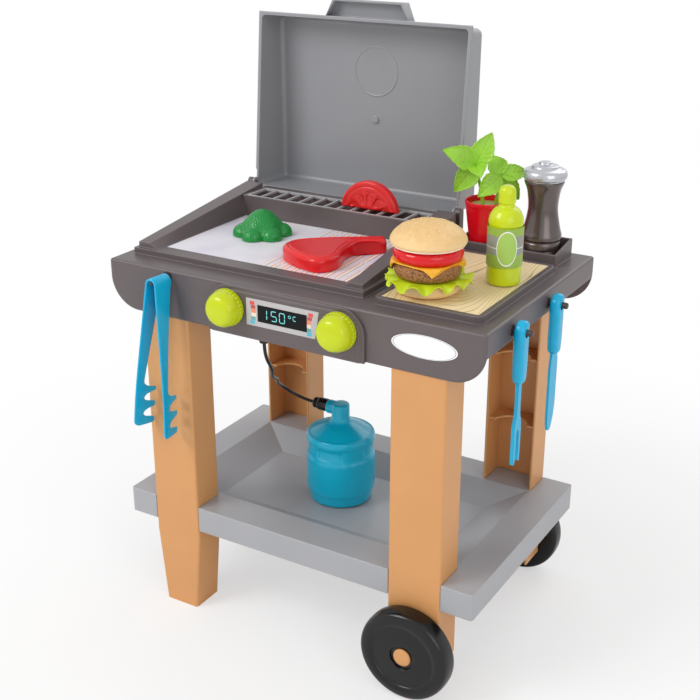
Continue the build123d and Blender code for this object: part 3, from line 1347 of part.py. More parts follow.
def leaf(foot, tip, width_share):
    """A pointed leaf from foot to tip, arched along its length."""
    along = Vector(*tip) - Vector(*foot)
    length = along.length
    half = width_share * length / 2
    upper = ThreePointArc((0, 0), (length / 2, half), (length, 0))
    lower = ThreePointArc((length, 0), (length / 2, -half), (0, 0))
    blade = extrude(make_face([upper, lower]), LEAF_BEND_RADIUS / 2, both=True)
    radius = LEAF_BEND_RADIUS
    bend = Cylinder(radius, 4 * half) - Cylinder(radius - LEAF_THICKNESS, 4 * half + OVERRUN)
    drop = sqrt(radius**2 - (length / 2) ** 2)
    blade = blade & Pos(length / 2, 0, -drop) * Rot(90, 0, 0) * bend
    level = Vector(-along.Y, along.X, 0)
    return Plane(origin=foot, x_dir=along, z_dir=along.cross(level) * -1) * blade


def basil(foot_shares, heart_shares, leaves):
    """A stem with a rosette of leaves, standing in the soil."""
    heart = tuple(share * BASIL_HEIGHT for share in heart_shares)
    plant = stem(foot_shares, heart_shares)
    for tip_shares, width_share in leaves:
        tip = tuple(share * BASIL_HEIGHT for share in tip_shares)
        plant += leaf(heart, tip, width_share)
    return pot_place() * Pos(0, 0, soil_low() + SOIL_THICKNESS) * plant


def burger_place(height):
    """A level of the burger above the cutting board."""
    return Pos(
        BOARD_RIGHT - BURGER_RIGHT_INSET, BOARD_FRONT + BURGER_FRONT_INSET, BOARD_CARD_TOP + SEAT_GAP + height
    )


BUN_LEVEL = 0
LETTUCE_LEVEL = BOTTOM_BUN_HEIGHT + SEAT_GAP
PATTY_LEVEL = LETTUCE_LEVEL + LETTUCE_THICKNESS + SEAT_GAP
CHEESE_LEVEL = PATTY_LEVEL + PATTY_HEIGHT + SEAT_GAP
SLICE_LEVEL = CHEESE_LEVEL + CHEESE_THICKNESS + SEAT_GAP
TOP_BUN_LEVEL = SLICE_LEVEL + SLICE_HEIGHT + SEAT_GAP


def burger_bottom_bun():
    """Lower half of the bun."""
    return burger_place(BUN_LEVEL) * turned(BOTTOM_BUN_SHARES, BOTTOM_BUN_RADIUS, BOTTOM_BUN_HEIGHT)


def burger_lettuce():
    """Leaf of lettuce: a flat middle and a frilled edge of small waves."""
    disc = standing_disc(PATTY_RADIUS, LETTUCE_THICKNESS)
    for place in PolarLocations(LETTUCE_RADIUS - LETTUCE_FRILL_RADIUS, LETTUCE_FRILLS):
        frill = standing_disc(LETTUCE_FRILL_RADIUS, LETTUCE_THICKNESS)
        disc += place * frill
    return burger_place(LETTUCE_LEVEL) * disc


def burger_cheese():
    """Slice of cheese whose four corners hang over the patty."""
    side = CHEESE_SIDE
    flat = Box(side, side, CHEESE_THICKNESS, align=(Align.CENTER, Align.CENTER, Align.MIN))
    half = side * sqrt(2) / 2
    flat = Rot(0, 0, 45) * flat
    limit = PATTY_RADIUS + SEAT_GAP
    flat = flat & Cylinder(limit + CHEESE_THICKNESS, 2 * CHEESE_DROP)
    for turn in range(0, 360, 90):
        corner = make_face(
            Polyline(
                (limit, -(half - limit), CHEESE_THICKNESS),
                (limit, half - limit, CHEESE_THICKNESS),
                (limit, 0, -CHEESE_DROP),
                close=True,
            )
        )
        flat += Rot(0, 0, turn) * extrude(corner, CHEESE_THICKNESS, dir=(1, 0, 0))
    return burger_place(CHEESE_LEVEL) * Rot(0, 0, CHEESE_TURN) * flat


def burger_top_bun():
    """Domed bun with sesame seeds, hollow below."""
    radius, height = TOP_BUN_RADIUS, TOP_BUN_HEIGHT
    ball = (radius**2 + height**2) / (2 * height)

    def cap(size, base):
        sphere = Pos(0, 0, height - ball) * Sphere(size)
        return sphere & Pos(0, 0, base) * standing_disc(radius * 2, height * 2)

    dome = cap(ball, 0) - cap(ball - WALL, 0)
    floor = standing_disc(radius - WALL, WALL / 2)
    dome += floor - Cylinder(radius / 2, WALL * 2)
    for index in range(SESAME_SEEDS):
        share = (index + 1) / (SESAME_SEEDS + 1)
        lean = asin(min(1, radius / ball)) * SESAME_REACH_SHARE * sqrt(share)
        turn = index * SESAME_TURN
        seed = Pos(0, 0, ball) * Sphere(SESAME_LENGTH / 2)
        dome += Pos(0, 0, height - ball) * Rot(0, 0, turn) * Rot(0, degrees(lean), 0) * seed
    return burger_place(TOP_BUN_LEVEL) * dome


def grill_place(shares):
    """A spot on the printed field of the grill."""
    x_share, y_share = shares
    x = GRILL_X - PRINT_HALF + 2 * PRINT_HALF * x_share
    y = PRINT_FRONT + (HOUSING_FRONT - PRINT_FRONT) * y_share
    return Pos(x, y, PRINT_TOP + SEAT_GAP)


def meat():
    """Chop with a broad lobe under a straight bone, laid slanting into the field's front right."""
    points = [(x * MEAT_LENGTH, y * MEAT_WIDTH) for x, y, _ in MEAT_SHARES]
    outline = make_face(Polyline(*points, close=True))
    for (x, y), (_, _, rounding) in zip(points, MEAT_SHARES):
        corner = outline.vertices().sort_by_distance((x, y, 0))[0]
        outline = fillet(corner, rounding * MEAT_LENGTH)
    body = extrude(outline, MEAT_HEIGHT)
    body = fillet(body.edges().group_by(Axis.Z)[-1], MEAT_ROUND)
    room = HOUSING_FRONT - PRINT_FRONT - MEAT_WIDTH
    body = Rot(0, 0, degrees(MEAT_SLANT_SHARE * room / MEAT_LENGTH)) * body
    box = body.bounding_box()
    x = GRILL_X + PRINT_HALF - MEAT_SIDE_GAP - box.max.X
    y = PRINT_FRONT + MEAT_FRONT_GAP - box.min.Y
    return Pos(x, y, PRINT_TOP + SEAT_GAP) * body


def green_vegetable():
    """Knobbly floret: a high middle with low lobes round it."""
    core = VEGETABLE_RADIUS * VEGETABLE_CORE_SHARE
    lobe = VEGETABLE_RADIUS * VEGETABLE_LOBE_SHARE
    body = Pos(0, 0, VEGETABLE_HEIGHT - core) * Sphere(core) + Cylinder(
        core, VEGETABLE_HEIGHT - core, align=(Align.CENTER, Align.CENTER, Align.MIN)
    )
    for place in PolarLocations(VEGETABLE_RADIUS - lobe, VEGETABLE_LOBES, VEGETABLE_TURN):
        body += place * Pos(0, 0, lobe / 2) * Sphere(lobe)
    reach = 2 * VEGETABLE_RADIUS
    body -= block(-reach, reach, -reach, reach, -reach, 0)
    return grill_place(VEGETABLE_PLACE_SHARES) * body


def tomato_slice():
    """Half slice of tomato, standing with its cut edge on the grate."""
    disc = Cylinder(TOMATO_RADIUS, TOMATO_THICKNESS)
    disc = fillet(disc.edges(), TOMATO_THICKNESS / 4)
    disc = Rot(90, 0, 0) * disc
    cut = TOMATO_RADIUS - TOMATO_RISE
    disc &= block(-TOMATO_RADIUS, TOMATO_RADIUS, -TOMATO_THICKNESS, TOMATO_THICKNESS, cut, TOMATO_RADIUS)
    x = GRILL_X - PRINT_HALF + 2 * PRINT_HALF * TOMATO_PLACE_SHARE
    y = (REBATE_FRONT + REBATE_REAR) / 2
    return Pos(x, y, HOUSING_TOP + SEAT_GAP - TOMATO_RADIUS + TOMATO_RISE) * disc


def all_pieces():
    """Every piece of the trolley under its own name."""
    front_left_leg = mirror(leg_channel(0, LEG_TAPER), about=Plane.YZ)
    front_right_leg = wheel_leg()
    front_wheel = wheel()
    front_wheel_pin = wheel_pin()
    return {
        "worktop": worktop(),
        "control_panel": control_panel(),
        "display_plate": display_plate(),
        "display_screen": display_screen(),
        "knob_left": knob(KNOB_PLACES[0]),
        "knob_right": knob(KNOB_PLACES[1]),
        "front_badge": front_badge(),
        "grill_print": grill_print(),
        "ember_print": ember_print(),
        "grill_grate": grill_grate(),
        "lid": lid(),
        "front_left_leg": front_left_leg,
        "rear_left_leg": mirror(front_left_leg, about=Plane.XZ),
        "front_right_leg": front_right_leg,
        "rear_right_leg": mirror(front_right_leg, about=Plane.XZ),
        "shelf": shelf(),
        "front_wheel": front_wheel,
        "rear_wheel": mirror(front_wheel, about=Plane.XZ),
        "front_wheel_pin": front_wheel_pin,
        "rear_wheel_pin": mirror(front_wheel_pin, about=Plane.XZ),
        "hose_socket": hose_socket(),
        "hose": hose(),
        "hose_connector": hose_connector(),
        "gas_bottle": gas_bottle(),
        "gas_valve": gas_valve(),
        "utensil_pegs": utensil_pegs(),
        "tongs_left_fold": tongs_fold(-1),
        "tongs_left_arm": tongs_arm(-1),
        "tongs_right_fold": tongs_fold(1),
        "tongs_right_arm": tongs_arm(1),
        "fork": fork(),
        "knife": knife(),
        "board_print": board_print(),
        "sauce_bottle": sauce_bottle(),
        "sauce_label": sauce_label(),
        "pepper_mill_body": pepper_mill_body(),
        "pepper_mill_cap": pepper_mill_cap(),
        "plant_pot": plant_pot(),
        "plant_soil": plant_soil(),
        "basil_large": basil(BASIL_LARGE_FOOT_SHARES, BASIL_LARGE_HEART_SHARES, BASIL_LARGE_SHARES),
        "basil_small": basil(BASIL_SMALL_FOOT_SHARES, BASIL_SMALL_HEART_SHARES, BASIL_SMALL_SHARES),
        "burger_bottom_bun": burger_bottom_bun(),
        "burger_lettuce": burger_lettuce(),
        "burger_patty": burger_place(PATTY_LEVEL) * turned(PATTY_SHARES, PATTY_RADIUS, PATTY_HEIGHT),
        "burger_cheese": burger_cheese(),
        "burger_tomato": burger_place(SLICE_LEVEL) * turned(SLICE_SHARES, SLICE_RADIUS, SLICE_HEIGHT),
        "burger_top_bun": burger_top_bun(),
        "green_vegetable": green_vegetable(),
        "meat": meat(),
        "tomato_slice": tomato_slice(),
    }


def board_print():
    """Wood-grain card in the frame of the cutting board."""
    return block(
        BOARD_LEFT + BOARD_RIM + CARD_FIT,
        BOARD_RIGHT - BOARD_RIM - CARD_FIT,
        BOARD_FRONT + BOARD_RIM + CARD_FIT,
        BOARD_REAR - BOARD_RIM - CARD_FIT,
        BOARD_TOP - RECESS,
        BOARD_CARD_TOP,
    )


def save_all(pieces):
    """Moves the origin to the middle of the underside of the whole box and writes each piece."""
    boxes = [shape.bounding_box() for name, shape in pieces.items() if not name.startswith("hose")]
    low = [min(getattr(box.min, axis) for box in boxes) for axis in "XYZ"]
    high = [max(getattr(box.max, axis) for box in boxes) for axis in "XYZ"]
    shift = Pos(-(low[0] + high[0]) / 2, -(low[1] + high[1]) / 2, -low[2])
    print("box", low, high, "shift", shift.position, "lid swing", LID_SWING)
    os.makedirs("parts", exist_ok=True)
    for name, shape in pieces.items():
        export_step(shift * shape, f"parts/{name}.step")


save_all(all_pieces())
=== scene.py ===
import math

import bmesh
import bpy
import numpy as np
from bpy.props import FloatProperty, FloatVectorProperty, IntProperty, PointerProperty
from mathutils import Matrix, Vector


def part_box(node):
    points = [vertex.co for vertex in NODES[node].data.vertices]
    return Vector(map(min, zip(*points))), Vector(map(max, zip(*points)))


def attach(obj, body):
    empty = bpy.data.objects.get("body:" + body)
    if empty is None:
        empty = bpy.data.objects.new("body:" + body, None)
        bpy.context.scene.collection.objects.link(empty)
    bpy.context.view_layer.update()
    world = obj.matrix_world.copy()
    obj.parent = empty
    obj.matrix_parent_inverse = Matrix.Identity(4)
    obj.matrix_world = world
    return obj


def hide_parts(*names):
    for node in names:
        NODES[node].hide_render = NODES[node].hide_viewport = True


bl_info = {
    "name": "Toy barbecue trolley",
    "version": (1, 1, 0),
    "blender": (4, 5, 0),
    "location": "3D View > Sidebar > Trolley",
    "description": "Dresses the packed model of a toy barbecue trolley with shapes and finishes",
    "category": "Object",
}

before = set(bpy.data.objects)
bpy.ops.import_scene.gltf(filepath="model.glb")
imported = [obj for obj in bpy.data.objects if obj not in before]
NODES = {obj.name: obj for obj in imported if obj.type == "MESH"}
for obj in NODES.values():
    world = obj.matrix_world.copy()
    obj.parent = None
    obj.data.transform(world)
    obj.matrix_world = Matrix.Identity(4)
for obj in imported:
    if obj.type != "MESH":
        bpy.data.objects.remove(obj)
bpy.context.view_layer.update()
MM = 0.001
ROUND = 2 * math.pi

# From the worktop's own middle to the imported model's origin, in millimetres
SHIFT = np.array([-11.0, -2.25538, 0.0])

# The hose: its route from the socket to the plug, and its thickness
HOSE_ROUTE = SHIFT + [
    (-37.0, -130.0, 376.0),
    (-37.0, -130.0, 359.9),
    (-42.0, -107.6, 334.1),
    (-57.7, -87.5, 314.0),
    (-70.2, -57.0, 297.9),
    (-86.5, -36.0, 282.3),
    (-96.5, -9.5, 263.8),
    (-77.8, 5.0, 246.0),
    (-60.0, 5.0, 245.3),
]
HOSE_DIAMETER = 4.0

# Flow marks of a moulding: their size in millimetres and how far they darken and lighten its colour
FLOW_SIZE, FLOW_TONES = 60.0, (0.95, 1.05)

# Cosines between a face and its rounded edge: the painted highlight starts at the first, is full at the
# second
HIGHLIGHT_TURN = (0.995, 0.80)


def linear(code):
    """The linear colour of an sRGB hex code."""
    channels = [int(code[at : at + 2], 16) / 255 for at in (1, 3, 5)]
    return tuple(c / 12.92 if c <= 0.04045 else ((c + 0.055) / 1.055) ** 2.4 for c in channels)


def rgba(code):
    """The linear colour of a hex code, with an alpha of one."""
    return (*linear(code), 1)


def shade(base, factor):
    """A lighter or darker version of a colour, with an alpha of one."""
    return (*(min(1.0, channel * factor) for channel in base[:3]), 1)


def colour(label, code):
    """A colour property with its default from a hex code."""
    words = f"Colour of {label.lower()}"
    return FloatVectorProperty(
        name=label, description=words, subtype="COLOR", size=3, min=0, max=1, default=linear(code)
    )


def length(label, words, default):
    """A length property in metres, with its default in millimetres."""
    return FloatProperty(
        name=label, description=words, default=default * MM, min=0, unit="LENGTH", precision=5
    )


class TrolleyColours(bpy.types.PropertyGroup):
    """Colours of the trolley, its tools and its crockery."""

    worktop: colour("Worktop", "#5f5556")
    lid: colour("Lid", "#8d8e92")
    shelf: colour("Shelf", "#a5a6aa")
    legs: colour("Legs", "#d69a60")
    knobs: colour("Knobs", "#c6d400")
    tools: colour("Tools", "#00aedb")
    gas: colour("Gas bottle", "#00b6da")
    wheels: colour("Wheels", "#030203")
    hose: colour("Hose", "#0b0908")
    grate: colour("Grate", "#b4b5b8")
    pot: colour("Plant pot", "#e0081c")
    sauce: colour("Sauce bottle", "#cbdc0c")
    mill: colour("Pepper mill", "#5d5250")
    mill_cap: colour("Cap of the pepper mill", "#bdbfc4")


class FoodColours(bpy.types.PropertyGroup):
    """Colours of the pretend food and the plant."""

    bun: colour("Bun", "#f2cf96")
    seeds: colour("Sesame seeds", "#f3d9a4")
    cream: colour("Cream under the bun", "#fbf2e4")
    slice_red: colour("Slice in the burger", "#dd0d17")
    cheese: colour("Cheese", "#fbb52e")
    patty: colour("Patty", "#a8743f")
    lettuce: colour("Lettuce", "#c6dc1c")
    meat: colour("Meat", "#e3161c")
    vegetable: colour("Green vegetable", "#078a38")
    tomato: colour("Tomato slice", "#e0211f")
    leaves: colour("Basil leaves", "#9bd23a")


class DetailSizes(bpy.types.PropertyGroup):
    """Sizes of the details that are only shown."""

    # The rounding also sets how wide the painted highlight along the mouldings' edges is
    edge: length("Moulded edge", "Rounding that shows on the edges of the mouldings", 1.8)
    knob_rib: length("Knob rib", "Depth of the grooves round a knob", 1.1)
    knob_ribs: IntProperty(name="Knob ribs", description="Grooves round a knob", default=30, min=6, max=90)
    frill: length("Lettuce frill", "Height of the waves at the lettuce's edge", 4.2)
    frills: IntProperty(name="Lettuce frills", description="Waves round the lettuce", default=12, min=4)
    seeds: IntProperty(name="Seeds", description="Sesame seeds on the bun", default=110, min=0, max=400)
    leaf: length("Leaf thickness", "Thickness of a basil leaf", 1.6)
    vein: length("Leaf vein", "Depth of the veins in a basil leaf", 0.45)
    digit: length("Digit stroke", "Width of a stroke of the display's digits", 0.95)


def corners(name):
    """Lowest and highest corner of a CAD node in millimetres."""
    low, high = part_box(name)
    return np.array(low) / MM, np.array(high) / MM


def centre(name):
    """Middle of a CAD node's box, in millimetres."""
    low, high = corners(name)
    return (low + high) / 2


def foot(name):
    """Middle of the underside of a CAD node's box, in millimetres."""
    return np.array([*centre(name)[:2], corners(name)[0][2]])


def extent(name):
    """Half the width and the height of a CAD node's box, in millimetres."""
    low, high = corners(name)
    return (high[0] - low[0]) / 2, high[2] - low[2]


def grid(points, wrap_rows=False, wrap_columns=False):
    """A surface from rows of points: four neighbours make a face; a wrapped side joins its ends."""
    rows, columns = points.shape[:2]
    r, c = np.meshgrid(
        np.arange(rows if wrap_rows else rows - 1),
        np.arange(columns if wrap_columns else columns - 1),
        indexing="ij",
    )
    below, beside = (r + 1) % rows, (c + 1) % columns
    ring = [r * columns + c, r * columns + beside, below * columns + beside, below * columns + c]
    return points.reshape(-1, 3), np.stack(ring, -1).reshape(-1, 4).tolist()


def joined(*surfaces):
    """Several surfaces as one, their faces counted on from one to the next."""
    points, faces, count = [], [], 0
    for part, cells in surfaces:
        points.append(part)
        faces += [[index + count for index in cell] for cell in cells]
        count += len(part)
    return np.concatenate(points), faces


def placed(points, origin, z_dir=(0, 0, 1), x_dir=(1, 0, 0)):
    """Points turned so that their X and Z lie along the two directions, then moved to the origin."""
    z = np.array(z_dir, float) / np.linalg.norm(z_dir)
    x = np.array(x_dir, float) - z * np.dot(x_dir, z)
    x /= np.linalg.norm(x)
    return points @ np.array([x, np.cross(z, x), z]) + np.array(origin, float)


def rounded(corner_list, steps=7, closed=False):
    """An outline whose corners are parabolas: each starts and ends its own distance from the corner."""
    data = np.array(corner_list, float)
    points, reach = data[:, :2], data[:, 2:3].copy()
    if not closed:
        reach[0] = reach[-1] = 0
    back, ahead = np.roll(points, 1, 0) - points, np.roll(points, -1, 0) - points
    before = np.maximum(np.linalg.norm(back, axis=1, keepdims=True), 1e-9)
    after = np.maximum(np.linalg.norm(ahead, axis=1, keepdims=True), 1e-9)
    start = points + back / before * np.minimum(reach, before * 0.48)
    end = points + ahead / after * np.minimum(reach, after * 0.48)
    t = np.linspace(0, 1, steps)[None, :, None]
    curve = (1 - t) ** 2 * start[:, None] + 2 * t * (1 - t) * points[:, None] + t**2 * end[:, None]
    curve = curve.reshape(-1, 2)
    keep = np.linalg.norm(curve - np.roll(curve, 1, 0), axis=1) > 1e-4
    if not closed:
        keep[0] = True
    return curve[keep]


def resampled(outline, count):
    """A closed outline with its points evenly spaced along it."""
    loop = np.vstack([outline, outline[:1]])
    run = np.concatenate([[0], np.cumsum(np.linalg.norm(np.diff(loop, axis=0), axis=1))])
    at = np.linspace(0, run[-1], count, endpoint=False)
    return np.stack([np.interp(at, run, loop[:, 0]), np.interp(at, run, loop[:, 1])], -1)


def turned(outline, segments=96):
    """A surface of revolution about Z: every (radius, height) of the outline goes round in a circle."""
    angle = np.linspace(0, ROUND, segments, endpoint=False)
    radius, height = outline[:, :1], outline[:, 1:2]
    return np.stack([radius * np.cos(angle), radius * np.sin(angle), height + 0 * angle], -1)


def lathe(corner_list, origin, z_dir=(0, 0, 1), segments=96, scale=(1.0, 1.0)):
    """A turned body from rounded (radius, height, rounding) corners, scaled and set along an axis."""
    outline = np.array(corner_list, float) * (*scale, 1.0)
    x_dir = (1, 0, 0) if abs(z_dir[0]) < 0.9 else (0, 1, 0)
    points = placed(turned(rounded(outline), segments), origin, z_dir, x_dir)
    return grid(points, wrap_columns=True)


def shut(points):
    """Rows of a tube with both ends drawn together to their middles."""
    first = np.broadcast_to(points[:1].mean(1, keepdims=True), points[:1].shape)
    last = np.broadcast_to(points[-1:].mean(1, keepdims=True), points[-1:].shape)
    return np.concatenate([first, points, last])


def slab(outline, front, back, rows=56):
    """A body over an outline: its two sides rise as functions of x, y and the distance to the edge."""
    share = np.sin(np.linspace(0, math.pi / 2, rows))[:, None, None]
    middle = outline.mean(0)
    flat = middle + (outline - middle) * share
    side = np.roll(outline, -1, 0) - outline
    offset = flat[..., None, :] - outline
    along = np.clip((offset * side).sum(-1) / np.maximum((side**2).sum(-1), 1e-9), 0, 1)
    distance = np.linalg.norm(offset - along[..., None] * side, axis=-1).min(-1)
    x, y = flat[..., 0], flat[..., 1]
    top = np.stack([x, y, front(x, y, distance)], -1)
    bottom = np.stack([x, y, back(x, y, distance)], -1)
    return np.concatenate([top, bottom[::-1]])


def round_edge(distance, height, rounding):
    """Height over an edge: a quarter circle of the given rounding, flat further in."""
    share = np.clip(distance / rounding, 0, 1)
    return height - rounding + rounding * np.sqrt(np.clip(1 - (1 - share) ** 2, 0, 1))


def plate(outline, thickness):
    """A flat plate: the outline as one face on each side and a strip of faces between them."""
    count = len(outline)
    upper = np.column_stack([outline, np.full(count, thickness / 2)])
    lower = np.column_stack([outline, np.full(count, -thickness / 2)])
    index = np.arange(count)
    sides = np.stack([index, (index + 1) % count, (index + 1) % count + count, index + count], -1)
    faces = sides.tolist() + [index[::-1].tolist(), (index + count).tolist()]
    return np.vstack([upper, lower]), faces


def add_piece(name, surface, body, material, replaces=(), sharp=32.0, bevel=0.0):
    """Puts a surface in millimetres into a mesh, closes its seams and poles and hangs it on a body."""
    points, faces = surface
    mesh = bpy.data.meshes.new(name)
    mesh.from_pydata((points * MM).tolist(), [], faces)
    work = bmesh.new()
    work.from_mesh(mesh)
    bmesh.ops.remove_doubles(work, verts=work.verts, dist=2e-6)
    bmesh.ops.recalc_face_normals(work, faces=work.faces)
    work.to_mesh(mesh)
    work.free()
    mesh.polygons.foreach_set("use_smooth", [True] * len(mesh.polygons))
    mesh.set_sharp_from_angle(angle=math.radians(sharp))
    mesh.materials.append(material)
    piece = bpy.data.objects.new(name, mesh)
    bpy.context.scene.collection.objects.link(piece)
    if bevel:
        rounding = piece.modifiers.new("Rounded edges", "BEVEL")
        rounding.width, rounding.segments, rounding.limit_method = bevel * MM, 3, "ANGLE"
    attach(piece, body)
    if replaces:
        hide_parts(*replaces)
    return piece


def node(tree, kind, inputs=None, out=0, **settings):
    """Adds one node with its settings, links or sets its inputs, and gives one output or the node."""
    made = tree.nodes.new(f"ShaderNode{kind}")
    for key, value in settings.items():
        setattr(made, key, value)
    for key, value in (inputs or {}).items():
        if isinstance(value, bpy.types.NodeSocket):
            tree.links.new(value, made.inputs[key])
        else:
            made.inputs[key].default_value = value
    return made if out is None else made.outputs[out]


def new_material(name, base, roughness, ior=1.5, metallic=0.0):
    """A material with one Principled shader and the object's own coordinates."""
    material = bpy.data.materials.new(name)
    material.use_nodes = True
    tree = material.node_tree
    tree.nodes.clear()
    values = {"Base Color": (*base[:3], 1), "Roughness": roughness, "IOR": ior, "Metallic": metallic}
    shader = node(tree, "BsdfPrincipled", values, None)
    node(tree, "OutputMaterial", {"Surface": shader.outputs[0]}, None)
    material.diffuse_color = (*base[:3], 1)
    return material, tree, shader, node(tree, "TexCoord", None, "Object")


def surface_bump(tree, shader, height, depth, normal=None):
    """Bump of a real depth in millimetres, over a normal that another node may give."""
    inputs = {"Height": height, "Distance": depth * MM}
    if normal:
        inputs["Normal"] = normal
    tree.links.new(node(tree, "Bump", inputs), shader.inputs["Normal"])


def moulded(name, base, roughness=0.38, grain=0.8, depth=0.02, edge=0.0, light=0.5, fleck=0.0):
    """Injection-moulded plastic: an eroded grain, faint flow marks, and painted edge highlights."""
    material, tree, shader, place = new_material(name, base, roughness)
    flow = node(tree, "TexNoise", {"Vector": place, "Scale": 1 / (FLOW_SIZE * MM), "Detail": 3.0})
    tones = {0: flow, 6: shade(base, FLOW_TONES[0]), 7: shade(base, FLOW_TONES[1])}
    tint = node(tree, "Mix", tones, 2, data_type="RGBA")
    fine = node(tree, "TexNoise", {"Vector": place, "Scale": 1 / (grain * MM), "Detail": 4.0})
    if fleck:
        share = node(tree, "Math", {0: fine, 1: fleck}, operation="MULTIPLY")
        tint = node(tree, "Mix", {0: share, 6: tint, 7: shade(base, 1.8)}, 2, data_type="RGBA")
    normal = None
    # Painted highlight: colour lightened, up to the share light, where the edges round over
    if edge:
        normal = node(tree, "Bevel", {"Radius": edge}, samples=6)
        flat = node(tree, "NewGeometry", None, "Normal")
        turn = node(tree, "VectorMath", {0: normal, 1: flat}, 1, operation="DOT_PRODUCT")
        limits = {"Value": turn, "From Min": HIGHLIGHT_TURN[0], "From Max": HIGHLIGHT_TURN[1], "To Max": light}
        painted_highlight = node(tree, "MapRange", limits)
        tint = node(tree, "Mix", {0: painted_highlight, 6: tint, 7: shade(base, 2.6)}, 2, data_type="RGBA")
    tree.links.new(tint, shader.inputs["Base Color"])
    limits = {"Value": flow, "To Min": roughness * 0.9, "To Max": min(1.0, roughness * 1.12)}
    tree.links.new(node(tree, "MapRange", limits), shader.inputs["Roughness"])
    surface_bump(tree, shader, fine, depth, normal)
    return material


def mottled(name, base, roughness, grain, tones, detail=2.0, depth=0.0, ior=1.5, metallic=0.0, **more):
    """Two tones that a noise of a real size mixes, and that it may raise; more sets plain sockets."""
    material, tree, shader, place = new_material(name, base, roughness, ior, metallic)
    noise = node(tree, "TexNoise", {"Vector": place, "Scale": 1 / (grain * MM), "Detail": detail})
    mix = {0: noise, 6: tones[0], 7: tones[1]}
    tree.links.new(node(tree, "Mix", mix, 2, data_type="RGBA"), shader.inputs["Base Color"])
    for socket, value in more.items():
        shader.inputs[socket.replace("_", " ")].default_value = value
    if depth:
        surface_bump(tree, shader, noise, depth)
    return material


def glossy(name, base, roughness=0.16, dent=6.0, depth=0.05, glow=0.0):
    """Blow-moulded or polished plastic: smooth, with the very shallow waves of a thin wall."""
    tones = shade(base, 0.94), shade(base, 1.06)
    light = {"Subsurface_Weight": glow, "Subsurface_Radius": (0.004, 0.003, 0.001)}
    return mottled(name, base, roughness, dent, tones, 1.0, depth, 1.49, **light)


def flat_position(tree, place, axes):
    """The object coordinates along the axes that a print follows, in millimetres."""
    split = node(tree, "SeparateXYZ", {"Vector": place}, None)
    return [node(tree, "Math", {0: split.outputs[axis], 1: 1 / MM}, operation="MULTIPLY") for axis in axes]


def band(tree, value, low, high, soft=0.3):
    """One between two limits and nought outside them, with soft ends."""
    rise = {"Value": value, "From Min": low - soft, "From Max": low + soft}
    fall = {"Value": value, "From Min": high - soft, "From Max": high + soft, "To Min": 1.0, "To Max": 0.0}
    up = node(tree, "MapRange", rise, interpolation_type="SMOOTHSTEP")
    down = node(tree, "MapRange", fall, interpolation_type="SMOOTHSTEP")
    return node(tree, "Math", {0: up, 1: down}, operation="MULTIPLY")


def oval(tree, *spans):
    """Squared distance from an oval's middle, one at its edge; a span is position, middle, half width."""
    squares = []
    for value, middle, half in spans:
        share = node(tree, "Math", {0: value, 1: 1 / half, 2: -middle / half}, operation="MULTIPLY_ADD")
        squares.append(node(tree, "Math", {0: share, 1: 2.0}, operation="POWER"))
    return node(tree, "Math", {0: squares[0], 1: squares[1]}, operation="ADD")


def inked(tree, base, *inks):
    """A print: each ink covers what lies under it where its share is one."""
    for share, ink in inks:
        base = node(tree, "Mix", {0: share, 6: base, 7: ink}, 2, data_type="RGBA")
    return base


def grill_card():
    """Varnished paper: a pale lilac haze and, at its right, broken strips with orange and brown rims."""
    right_edge = corners("grill_print")[1][0]
    strips_width = 118
    material, tree, shader, place = new_material("Varnished card, grill print", linear("#f0eef4"), 0.4)
    x, y = flat_position(tree, place, "XY")
    haze = node(tree, "TexNoise", {"Vector": place, "Scale": 1 / (70 * MM), "Detail": 2.0})
    pitch, piece_length = 13.5, 66.0
    lean = node(tree, "Math", {0: y, 1: 0.04, 2: x}, operation="MULTIPLY_ADD")
    count = node(tree, "Math", {0: lean, 1: pitch}, operation="DIVIDE")
    part = node(tree, "Math", {0: count}, operation="FRACT")
    row = node(tree, "Math", {0: count}, operation="FLOOR")
    across = node(tree, "Math", {0: part, 1: pitch}, operation="MULTIPLY")
    stagger = node(tree, "Math", {0: row, 1: 0.37, 2: 0.1}, operation="MULTIPLY_ADD")
    run = node(tree, "Math", {0: y, 1: 1 / piece_length, 2: stagger}, operation="MULTIPLY_ADD")
    piece = node(tree, "Math", {0: run}, operation="FRACT")
    whole = band(tree, piece, 0.035, 0.965, 0.006)
    start = right_edge - strips_width
    right = node(tree, "MapRange", {"Value": lean, "From Min": start, "From Max": start + 6})
    shown = node(tree, "Math", {0: right, 1: whole}, operation="MULTIPLY")
    inks = []
    for start, end, code in ((3.0, 8.6, "#fdf3e6"), (3.0, 4.3, "#ee9a55"), (7.9, 8.7, "#7d4a36")):
        strip = band(tree, across, start, end, 0.2)
        inks.append((node(tree, "Math", {0: strip, 1: shown}, operation="MULTIPLY"), rgba(code)))
    pale = node(tree, "Mix", {0: haze, 6: rgba("#cfc6dc"), 7: rgba("#ffffff")}, 2, data_type="RGBA")
    tree.links.new(inked(tree, pale, *inks), shader.inputs["Base Color"])
    surface_bump(tree, shader, haze, 0.03)
    return material


def ember_card():
    """Varnished paper, printed with coals that glow red and orange between black gaps."""
    material, tree, shader, place = new_material("Varnished card, ember print", linear("#7c2014"), 0.45)
    edge = node(
        tree, "TexVoronoi", {"Vector": place, "Scale": 1 / (14 * MM)}, feature="DISTANCE_TO_EDGE"
    )
    heat = node(tree, "TexNoise", {"Vector": place, "Scale": 1 / (16 * MM), "Detail": 4.0})
    glow = node(tree, "Mix", {0: heat, 6: rgba("#5a0f0c"), 7: rgba("#ff5a2a")}, 2, data_type="RGBA")
    gap = node(tree, "MapRange", {"Value": edge, "From Max": 0.14, "To Min": 1.0, "To Max": 0.0})
    tree.links.new(inked(tree, glow, (gap, rgba("#0c0808"))), shader.inputs["Base Color"])
    surface_bump(tree, shader, heat, 0.03)
    return material


